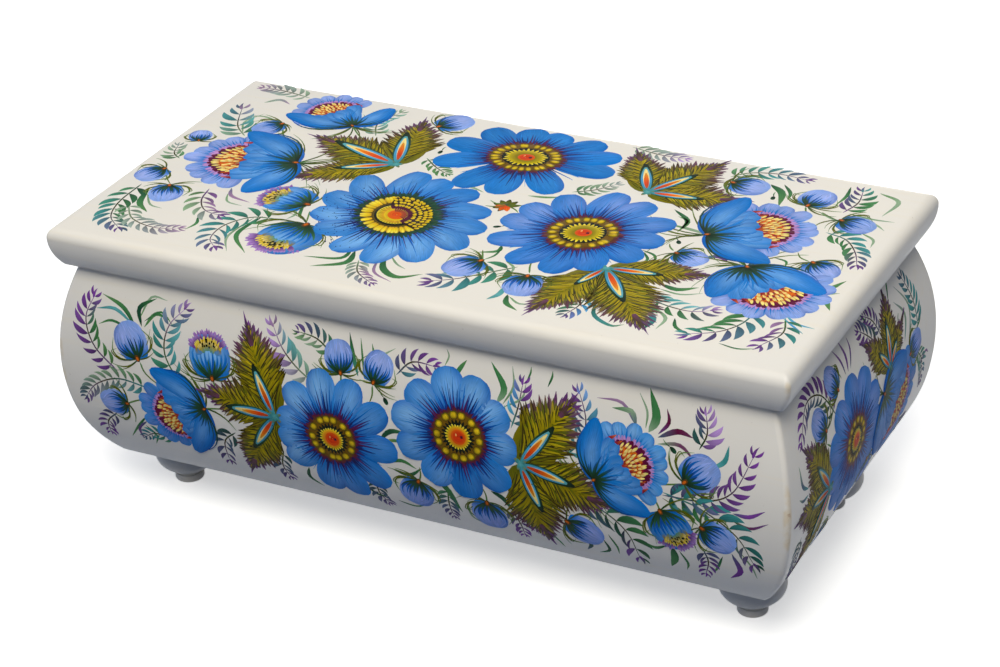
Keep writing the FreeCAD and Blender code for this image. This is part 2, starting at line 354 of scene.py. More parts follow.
def petals(art, roots, tips, width, tones, root_tone="navy", ends=(0.7, 0.42), dark=0.45, glow=1.0):
    """Broad petals with rounded tips. tones are the paints of the edges and the middle, glow is
    how much of the second shows, and the root's tone reaches dark shares up the petal."""
    rng, s, t = art.rng, eased(PETAL_ROWS), across(PETAL_COLUMNS)
    roots, tips = np.atleast_1d(roots)[:, None], np.atleast_1d(tips)[:, None]
    count = len(tips)
    middle = (roots + tips) / 2 + 1j * (tips - roots) * rng.normal(0, 0.04, count)[:, None]
    line = curve(roots, middle, tips, s)
    half = taper(width, s, ends, 0.14)
    s = s[:, None]
    lean = rng.uniform(-0.8, 0.8, (count, 1, 1))
    light = np.exp(-((s - 0.6) / 0.36)**2) * (0.66 + 0.34 * np.cos(2.4 * (t - lean)))
    light = light * rng.uniform(0.6, 1.0, (count, 1, 1)) * np.reshape(glow, (-1, 1, 1))
    colour = mix(*ramp(tones, [0, 1]), np.clip(light, 0, 1))
    edge = fade(t * np.sign(lean), 0.3, 1.0) * 0.5 * fade(s, 0.05, 0.4)
    colour = mix(colour, paint("deep_blue"), edge)
    shadow = 1 - fade(s, 0.0, dark + 0.25 * (1 - t**2))
    colour = mix(colour, paint("deep_blue"), shadow * 0.8)
    colour = mix(colour, paint(root_tone), (1 - fade(s, 0.0, dark)) * 0.95)
    colour = colour * art.shades(count, PETAL_ROWS, PETAL_COLUMNS, 0.05)
    art.sweep(line, half, colour, PETAL_COLUMNS, PETAL_LEVELS)


def rays(art, centre, ring, tips, count, reach, paints, width, least=0.4, shape=(0.15, 0.9)):
    """Thin pointed strokes that run out from a ring over the petals, longest along their middles.
    least is the share of the length that is left between two petals."""
    rng = art.rng
    turn = art.fan(0, 360, count, 70 / count, True)
    off = between(turn[:, None], np.degrees(np.angle(tips - centre)))
    middle = np.cos(np.radians(off.min(1)) * 5).clip(0, 1)
    length = (abs(tips[off.argmin(1)] - centre) - ring) * reach * (least + (1 - least) * middle)
    length = length * rng.uniform(0.7, 1, count)
    start = centre + polar(ring * rng.uniform(0.86, 0.98, count), turn)
    end = centre + polar(ring + length, turn + rng.normal(0, 1.2, count))
    colours = np.array([ramp(pair, [0, 1]) for pair in paints])[rng.integers(0, len(paints), count)]
    art.hairs(start, end, width * rng.uniform(0.6, 1.2, count), colours, rng.normal(0, 0.03, count),
              shape, vary=0.05)


def daisy(art, centre, tips, ring, width, shape, glow, blobs):
    """A daisy: petals, dark rays and an eye. shape is the eye's width, height and turn. glow is the
    paint of the petals' middles, the heading where it is strongest and how far it reaches. blobs
    is how many yellow blobs stand round the eye, and 0 is for a daisy seen from the side."""
    tips = np.array(tips)
    at = about(centre, polar(1, shape[2]), *shape[:2])
    order = art.rng.permutation(len(tips))
    heading = np.degrees(np.angle(tips - centre))
    tone, strongest, reach = glow
    share = 0.3 + 0.7 * (1 - fade(between(heading, strongest), reach * 0.5, reach * 1.2))
    petals(art, at(ring * 0.75, heading)[order], tips[order], width, f"azure {tone}", dark=0.26,
           glow=share[order])
    rays(art, centre, ring, tips, 44, 0.9, ("azure blue", "deep_blue azure"), 0.5, 0.8, (0.5, 1.0))
    rays(art, centre, ring, tips, 66, 0.2, ("ink navy", "maroon ink", "ink"), 1.1, 0.8)
    dark = ("ink navy", "ink deep_blue", "navy deep_blue", "maroon navy")
    rays(art, centre, ring, tips, 82, 0.68, dark, 0.66, 0.45)
    if blobs:
        round_eye(art, at, centre, ring, blobs)
    else:
        side_eye(art, at, ring)


def rough_rim(art, at, ring, paints, count=64, depth=0.12):
    """Short strokes across the rim of the eye, which roughen it."""
    turn = art.fan(0, 360, count, 2, True)
    outer = at(ring * (1 + depth * art.rng.uniform(0.2, 1.2, count)), turn)
    art.dabs(at(ring * (1 - depth), turn), outer, ring * 0.13, paints, shape=(0.4, 0.8), rows=7)


def round_eye(art, at, centre, ring, blobs):
    """The eye of a daisy that is seen face on."""
    art.ring(at, 0.3, ring, "brown brown tan tan brown")
    rough_rim(art, at, ring, "brown maroon")
    turn = art.fan(0, 360, blobs, 3, True)
    for size, paints in ((1.0, "brown moss"), (0.76, "olive gold"), (0.5, "gold yellow")):
        middle, reach = at(ring * 0.8, turn), at(ring * 0.17 * size, turn) - centre
        art.dabs(middle - reach, middle + reach, ring * min(5.4 / blobs, 0.36) * size, paints,
                 shape=ROUND)
    heart, core, fill, pale = ring, ring * 0.3, "red red orange amber yellow", "amber"
    if blobs > 15:
        heart, core, fill, pale = ring * 1.18, ring * 0.24, "olive olive olive lime yellow", "lime"
    art.ring(at, 0.3, heart * 0.56, "black")
    turn = np.linspace(0, 360, 26, endpoint=False)
    art.dabs(at(heart * 0.44, turn), at(ring * 0.66, turn), ring * 0.1, "black", rows=7)
    outer = at(heart * (0.5 + 0.04 * art.rng.uniform(-1, 1, 26)), turn + 7)
    art.dabs(at(heart * 0.32, turn + 7), outer, ring * 0.085, f"{pale} yellow lemon", rows=7)
    art.ring(at, 0.2, heart * 0.41, fill)
    art.ring(at, 0.2, core, "red red orange", ring * 0.02)
    spot = centre + ring * complex(0.08, 0.02)
    art.dabs(spot, spot + ring * 0.12, ring * 0.12, "maroon black", shape=ROUND, rows=7)
    shine = centre + ring * complex(-0.07, 0.01)
    art.dabs(shine, shine + ring * 0.12j, ring * 0.06, "orange cream", rows=7)


def side_eye(art, at, ring):
    """The eye of a daisy that is seen from the side: a fringe of long yellow stamens below, and
    a dark curve with rows of small dabs above."""
    art.ring(at, 0.3, ring * 1.02, "gold olive umber black")
    turn = art.fan(-105, 88, 90, 2)
    far = 1.12 + 0.42 * np.cos(np.radians(turn)).clip(0, 1) * art.rng.uniform(0.3, 1, 90)
    art.hairs(at(ring * 0.9, turn), at(ring * far, turn), ring * 0.12, "black pine ink",
              shape=(0.3, 1.0))
    rough_rim(art, at, ring * 1.02, "black pine", 80, 0.22)
    turn = art.fan(75, 282, 26, 1.5)
    inner, outer = at(ring * 0.64, turn), at(ring * 0.99, turn)
    art.dabs(inner, outer, ring * 0.17, "olive gold gold", shape=ROUND)
    art.dabs(inner, outer, ring * 0.1, "amber yellow lemon", shape=(0.6, 0.6))
    art.ring(at, 0.3, ring * 0.62, "black")
    art.ring(at, 0.2, ring * 0.52, "orange gold yellow lemon", -ring * 0.03)
    turn = np.linspace(80, 280, 22)
    art.dabs(at(ring * 0.3, turn), at(ring * 0.53, turn), ring * 0.07, "amber gold olive", rows=7)
    turn = np.linspace(84, -84, 24)
    outer = at(ring * 0.98, turn * 0.86 - 2)
    art.dabs(at(ring * 0.28, turn), outer, ring * 0.2, "maroon black umber", 0.1)
    for reach in (0.5, 0.66, 0.8, 0.93):
        turn = art.fan(-70, 70, int(8 + 12 * reach), 2)
        inner, outer = at(ring * (reach - 0.06), turn), at(ring * (reach + 0.06), turn + 6)
        art.dabs(inner, outer, ring * 0.095, "gold yellow", shape=(0.5, 0.6), rows=7)
    art.ring(at, 0.2, ring * 0.26, "red orange", ring * 0.02)
    turn = np.linspace(80, -60, 13)
    outer = at(ring * 0.5, turn - 14)
    art.dabs(at(ring * 0.12, turn), outer, ring * 0.045, "rust maroon umber", 0.15)


def speckles(art, centre, ring, count, headings, reach):
    """Fine dark dots over the petals round an eye."""
    rng = art.rng
    turn = rng.uniform(*headings, count)
    place = centre + polar(ring * (1 + reach * rng.uniform(0.2, 1, count)**2.2), turn)
    art.hairs(place, place + polar(0.4, turn), rng.uniform(0.22, 0.42, count), "navy ink",
              shape=ROUND, rows=5)


def whiskers(art, base, axis, size, count, turn=105):
    """Thin curved hairs that spring from the base of a bud and pass beside it."""
    rng = art.rng
    side = np.where(np.arange(count) % 2, 1.0, -1.0)
    heading = side * rng.uniform(35, turn, count)
    end = base + axis * polar(size * rng.uniform(0.7, 1.5, count), heading)
    width = 0.6 * rng.uniform(0.6, 1.2, count)
    art.hairs(base, end, width, "pine moss leaf", side * rng.uniform(0.1, 0.4, count),
              (0.4, 1.1))


def sepals(art, near, far, count, reach, paints, width, spread):
    """Dark pointed strokes that fan from the base over a bud, along its meridians."""
    rng = art.rng
    bend = art.fan(-spread, spread, count, 0.05)
    last = reach * rng.uniform(0.7, 1.1, count)
    art.hairs(near, far, width * rng.uniform(0.7, 1.2, count), paints, bend, (0.25, 1.0), (0.0, last))


def arms(art, base, axis, radius, reach=1.4):
    """Two pairs of curved hairs that hold a bud from both sides."""
    for side in (-1, 1):
        for far, out, width in ((reach, 1.2, 0.5), (reach * 0.6, 1.32, 0.35)):
            off = side * np.array([0.05, 0.75 * out, out, 0.72 * out])
            art.trail(base + axis * radius * (np.array([0, 0.25, 0.8, far]) + 1j * off), width,
                      "pine moss leaf", (0.4, 0.9), LINE_COLUMNS)


def ball(art, near, far, width, tones, streaks, count):
    """A round body of strokes that run along its meridians."""
    petals(art, near, far, width, tones, "azure", (0.5, 0.42), 0.28)
    bend = np.linspace(-0.8, 0.8, count) * (width / abs(far - near))
    last = art.rng.uniform(0.7, 0.97, count)
    art.dabs(near, far, 0.9, streaks, bend, (0.4, 0.9), (0.05, last))


def bud(art, centre, radius, base):
    """A closed lilac bud."""
    axis = unit(centre - base)
    near, far = centre - axis * radius, centre + axis * radius
    whiskers(art, near, axis, radius * 1.3, 7)
    ball(art, near, far, 2 * radius * 0.95, "lilac pale_lilac", "deep_blue lilac pale_lilac", 7)
    sepals(art, near, far, 8, 0.7, "navy deep_blue azure", radius * 0.17, 0.72)
    sepals(art, near, far, 8, 0.55, "black pine navy", radius * 0.17, 0.85)
    arms(art, near, axis, radius)
    knot(art, near, axis, radius * 0.24)


def knot(art, place, axis, size):
    """The small orange-brown knot where a flower meets its stalk."""
    for behind, ahead, width, paints in ((0.6, 1.0, 1.1, "brown"), (0.4, 0.6, 0.6, "rust orange")):
        art.dabs(place - axis * size * behind, place + axis * size * ahead, size * width, paints,
                 shape=ROUND)


def thistle(art, centre, radius, base):
    """A blue ball with a yellow crown and a purple fringe opposite its base."""
    rng = art.rng
    axis = unit(centre - base)
    at = about(centre, axis)
    near, far = centre - axis * radius, centre + axis * radius
    whiskers(art, near, axis, radius * 1.3, 8)
    turn = art.fan(-64, 64, 23, 2)
    outer = at(radius * rng.uniform(1.06, 1.2, 23), turn)
    art.dabs(at(radius * 0.7, turn), outer, radius * 0.13, "violet violet orchid", shape=(0.6, 0.7))
    ball(art, near, far, 2 * radius, "azure pale_blue", "deep_blue azure pale_blue", 9)
    turn = art.fan(-60, 60, 19, 2)
    art.dabs(at(radius * 0.6, turn), at(radius * 1.06, turn), radius * 0.14, "violet purple orchid",
             shape=(0.6, 0.6))
    fill = at(radius * 0.56, np.linspace(-56, 56, 9))
    art.dabs(fill - axis * radius * 0.3, fill + axis * radius * 0.24, radius * 0.36, "blue olive gold")
    for reach, few, paints in ((0.72, 19, "gold lemon"), (0.54, 15, "olive cream"), (0.36, 11, "teal lime")):
        turn = art.fan(-56, 56, few, 3)
        middle = at(radius * reach, turn)
        length = axis * polar(radius * rng.uniform(0.1, 0.18, few), turn * 0.7)
        art.dabs(middle - length, middle + length, radius * 0.09, paints, shape=(0.4, 0.8), rows=7)
    spots = at(radius * rng.uniform(0.3, 0.7, 17), rng.uniform(-44, 44, 17))
    art.dabs(spots, spots + axis * radius * 0.12, radius * 0.08, "black", shape=ROUND, rows=7)
    sepals(art, near, far, 9, 0.6, "navy deep_blue azure", radius * 0.13, 0.8)
    sepals(art, near, far, 11, 0.42, "black pine green", radius * 0.14, 0.95)
    arms(art, near, axis, radius, 1.2)
    knot(art, near, axis, radius * 0.2)


def bell(art, base, mouth, curls, tones="lilac pale_lilac"):
    """A bell flower seen from the side: a scalloped skirt, dark and yellow stamens, the cup of
    long strokes, two outer petals whose tips curl out, and dark sepals. mouth is the middle of
    the cup's edge, and curls are the tips of the two outer petals."""
    rng = art.rng
    axis = unit(mouth - base)
    at = about(mouth, axis)
    size = abs(mouth - base) / 0.8
    dome = size * 0.53
    whiskers(art, base, axis, size * 0.8, 12, 165)
    turn = art.fan(-BELL_TURN, BELL_TURN, BELL_LOBES, 2)
    order = np.argsort(-abs(turn))
    tips = at(size * rng.uniform(0.88, 0.97, BELL_LOBES), turn)
    petals(art, at(dome * 0.6, turn)[order], tips[order], size * 0.36, tones, "azure", dark=0.7)
    turn = art.fan(-BELL_TURN, BELL_TURN, 45, 2)
    outer = at(size * rng.uniform(0.68, 0.84, 45), turn)
    art.hairs(at(dome * 0.95, turn), outer, size * 0.026, "deep_blue azure blue", shape=(0.3, 1.0))
    turn = art.fan(-BELL_TURN, BELL_TURN, 34, 1)
    art.dabs(at(dome * 0.9, turn), at(dome * 1.2, turn), size * 0.06, "pink orchid", shape=(0.4, 0.8))
    turn = art.fan(-BELL_TURN - 4, BELL_TURN + 4, 21, 1.5)
    outer = at(dome * rng.uniform(1.0, 1.1, 21), turn)
    art.dabs(at(dome * 0.7, turn), outer, size * 0.115, "wine maroon maroon", shape=(0.5, 0.55))
    stamens(art, at, axis, dome, size)
    cup(art, base, mouth, axis, size)
    for side, curl in zip((1, -1), curls):
        curled_petal(art, base, curl, side, size)
    turn = art.fan(-68, 68, 13, 3)
    reach = size * (0.66 - 0.14 * abs(turn) / 68) * rng.uniform(0.7, 1.1, 13)
    art.hairs(base, base + axis * polar(reach, turn), size * 0.06, "black pine deep_blue",
              turn / 68 * 0.16, (0.3, 0.9))
    for side, curl in zip((1, -1), curls):
        art.hairs(base, curl, size * 0.035, "black pine deep_blue", side * np.array([0.36, 0.5, 0.62]),
                  (0.3, 1.0), (0.0, [0.5, 0.65, 0.8]))
    knot(art, base, axis, size * 0.07)


def stamens(art, at, axis, dome, size):
    """Rows of pale yellow dabs with red between them, inside the arc of dark dabs."""
    art.ring(at, 0.0, dome * 0.8, "wine rust orange rust", turns=(-95, 95), rows=25, columns=9)
    for row, reach in enumerate((0.22, 0.4, 0.58, 0.76)):
        few = 6 + 4 * row
        turn = art.fan(-88, 88, few, 3) + 6 * (row % 2)
        place = at(dome * (reach - 0.1), turn + 90 / few)
        art.dabs(place, place + axis * polar(dome * 0.2, turn * 0.7), size * 0.045, "red wine maroon",
                 rows=7)
        place = at(dome * reach * art.rng.uniform(0.92, 1.08, few), turn)
        art.dabs(place - axis * dome * 0.12, place + axis * polar(dome * 0.17, turn * 0.7),
                 size * 0.052, "amber cream lemon", shape=(0.5, 0.7), rows=7)


def cup(art, base, mouth, axis, size):
    """The body of a bell: strokes that fan from the base to a toothed edge."""
    half = size * 0.6
    share = np.linspace(-1, 1, 9)
    teeth = size * 0.07 * (np.arange(9) % 2)
    ends = mouth + axis * (1j * half * share - size * 0.05 * np.cos(share * 3) + teeth)
    art.dabs(ends - axis * size * 0.12, ends + axis * size * 0.15, size * 0.09, "red wine orange",
             shape=(0.3, 1.1))
    order = np.argsort(abs(share))[::-1]
    petals(art, base, ends[order] + axis * size * 0.03, size * 0.34, "azure pale_blue", "deep_blue",
           dark=0.3, glow=0.7)
    share = np.linspace(-0.95, 0.95, 26)
    ends = mouth + axis * (1j * half * share - size * art.rng.uniform(0.0, 0.3, 26))
    art.hairs(base, ends, size * 0.035, "deep_blue azure blue", -share * 0.2, (0.4, 1.0))


def curled_petal(art, base, curl, side, size):
    """One outer petal of a bell: broad at its middle, with a pointed tip that curls out."""
    s, t = eased(CURL_ROWS), across(CURL_COLUMNS)
    step = curl - base
    line = curve(base, base + step * complex(0.42, side * 0.2), curl, s)
    line = line + unit(step) * 1j * side * size * 0.06 * fade(s, 0.75, 1.0)
    glow = np.exp(-((s[:, None] - 0.45) / 0.3)**2) * np.exp(-((t + side * 0.2) / 0.5)**2)
    colour = mix(paint("azure"), paint("pale_blue"), glow * 0.5)
    colour = mix(colour, paint("deep_blue"), (1 - fade(s, 0.0, 0.35))[:, None] * 0.8)
    colour = mix(colour, paint("deep_blue"), fade(t * side, 0.6, 1.0) * 0.7)
    colour = colour * art.shades(1, CURL_ROWS, CURL_COLUMNS, 0.04)
    art.sweep(line[None], taper(size * 0.54, s, (0.7, 0.6), 0.02), colour, CURL_COLUMNS)


def leaf(art, base, lobes, trims="plum purple"):
    """A leaf of feathered lobes, each with a flame for its vein. A lobe is its tip, the tip of
    its flame and its width. The layers run from the dark ground to the light dabs. Each row says
    where its dabs begin and end across the lobe, how far ahead they reach, their width and
    paints, how much of the trims shows in them, and the gap between them."""
    rng = art.rng
    trim, last_trim = trims.split()
    for tip, _, width in lobes:
        art.dabs(base, base + (tip - base) * 0.85, width * 0.75, "moss olive moss",
                 shape=(0.5, 0.7), rows=13, columns=9)
    for inner, outer, ahead, size, paints, trimmed, gap in (
        (0.4, 1.18, 0.42, 1.7, "bark", 0.9, 1.8),
        (0.4, 1.1, 0.38, 1.3, "moss olive", 0.7, 1.8),
        (0.35, 1.0, 0.36, 0.5, "bark", 0.5, 1.8),
        (0.1, 0.84, 0.34, 1.5, "moss", 0.1, 1.8),
        (0.12, 0.8, 0.3, 1.15, "olive lime", 0.15, 1.8),
        (0.0, 0.5, 0.26, 1.2, "moss bark", 0.0, 1.8),
        (0.0, 0.47, 0.26, 0.9, "olive lime", 0.0, 1.8),
        (0.1, 1.05, 0.36, 0.38, "black bark", 0.2, 3.0),
    ):
        root, tail = ramp(paints, [0, 1])
        layer = []
        for tip, _, width in lobes:
            axis, length = unit(tip - base), abs(tip - base)
            count = max(6, int(length / gap))
            for side in (-1, 1):
                f = (np.arange(count) + rng.uniform(0.2, 0.8, count)) / count
                half = width * 0.46 * (np.sin(math.pi * f**0.7) * 0.97 + 0.03)
                start = length * (0.02 + 0.84 * f)
                stretch = rng.uniform(0.85, 1.15, count)
                end = start + width * ahead * (0.95 - 0.25 * f) * stretch
                end = base + axis * (end + 1j * side * half * outer * stretch)
                start = base + axis * (start + 1j * side * half * inner)
                tone = mix(tail, paint(trim), fade(f, 0.3, 0.75) * trimmed)
                tone = mix(tone, paint(last_trim), fade(f, 0.6, 1.0) * trimmed * 0.8)
                tones = np.stack(np.broadcast_arrays(root, tone), 1) * rng.uniform(0.8, 1.2, (count, 1, 1))
                layer.append((start, end, tones, np.full(count, side)))
        starts, ends, tones, sides = map(np.concatenate, zip(*layer))
        wide = size * rng.uniform(0.75, 1.2, len(starts))
        art.dabs(starts, ends, wide, tones, sides * -0.08, (0.4, 0.85), vary=0.1)
    for tip, _, _ in lobes:
        aim = tip + unit(tip - base) * np.array([-2.4 + 1.5j, -2.4 - 1.5j, -1.0 + 0.7j, 3.2 + 0.6j])
        art.dabs(base + (tip - base) * 0.74, aim, [1.3, 1.3, 1.3, 1.5], f"{trim} bark {last_trim}",
                 shape=(0.4, 1.2))
    for _, flame, _ in lobes:
        flame_vein(art, base, flame)
    art.dabs(base, base + polar(2.6, [30, 140, 250, 320]), 1.3, "sea teal olive", rows=7)


def flame_vein(art, base, tip):
    """A flame of nested strokes: dark outline, blue, cream and orange-red."""
    step = tip - base
    wide = 0.13 * abs(step) + 1.1
    for size, first, last, paints in (
        (1.4, 0.02, 1.14, "pine pine black"),
        (1.1, 0.0, 1.0, "teal sky sea"),
        (0.66, 0.12, 0.93, "sky cream cream"),
        (0.5, 0.12, 0.76, "rust red orange amber"),
    ):
        art.dabs(base + step * first, base + step * last, wide * size, paints, shape=(0.7, 0.8),
                 rows=13, columns=7)


def fern(art, length, paints, *points):
    """A fern: a thin curved stem with pairs of leaflets that change colour towards its tip. A
    slash parts the paints of the left side from those of the right."""
    rng = art.rng
    left, right = (paints.split(" / ") * 2)[:2]
    foot, tip = left.split()[0], left.split()[-1]
    art.trail(points, 0.55, f"{foot} bark {tip}", (0.1, 0.5), LINE_COLUMNS)
    count = max(6, int(abs(np.diff(points)).sum() / (FERN_GAP * length)))
    last = FERN_ROWS * count
    line = through(points, last + 1)
    ahead = unit(np.gradient(line))
    at = np.arange(count) * FERN_ROWS + 6
    f = at / last
    reach = 1.22 * length * np.sin(math.pi * (0.26 + 0.64 * f))**0.7
    turn = np.angle(ahead[np.minimum(at + FERN_ROWS, last)] / ahead[at - 6])
    for side, names in ((1, left), (-1, right)):
        size = reach * rng.uniform(0.85, 1.15, count)
        slant = FERN_SLANT * (1.1 - 0.45 * f) + rng.normal(0, 4, count)
        heading = ahead[at] * polar(1, side * slant)
        start = line[at] + heading * 0.35
        tone = ramp(names, f)
        tones = np.stack([tone * 0.55, tone, tone * 1.15], 1)
        crowded = (side * turn).clip(0, 0.5)
        wide = size * (FERN_WIDTH - 0.3 * crowded) * rng.uniform(0.85, 1.15, count)
        art.dabs(start, start + heading * size, wide, tones, side * 0.3, (0.9, 1.05), vary=0.1)
    art.dabs(line[-4], line[-1] + ahead[-1] * length * 0.5, length * 0.18,
             f"{right.split()[-1]} {tip}", 0.2, (0.5, 1.1))


def grass(art, width, paints, *points):
    """A curved blade."""
    art.trail(points, width, paints, (0.8, 1.0))


def stalk(art, *points):
    art.trail(points, 0.6, "leaf moss", (0.1, 0.4), LINE_COLUMNS)


def droplet(art, place, heading):
    """A tiny dark seed with a hair of stalk."""
    art.dabs(place, place + polar(2.6, heading), 1.5, "black pine", shape=(0.6, 0.5))
    art.hairs(place, place - polar(3.0, heading), 0.4, "pine leaf", 0.2)


def red_bud(art, place, size):
    """A little bud of dark green with two red petals."""
    art.dabs(place, place + polar(size, np.arange(20, 261, 40)), size * 0.5, "pine moss black")
    art.dabs(place, place + polar(size * 0.9, [-150, -100, -60]), size * 0.5, "red orange")
    art.hairs(place, place + polar(size * 1.5, [-30, 15, 165, 200]), 0.6, "moss leaf", 0.2)


# Garlands

# Colours of ferns and of blades, from the foot to the tip
GREENS = "green teal purple"
GREYS = "sage grey mauve"
DUSKS = "pine slate purple"
VIOLETS = "slate purple violet"
MAUVES = "slate purple mauve"
BLADE = "pine green leaf"
PALE_BLADE = "leaf sage sage"
MAUVE_BLADE = "slate mauve mauve"
DARK_BLADE = "pine pine green"

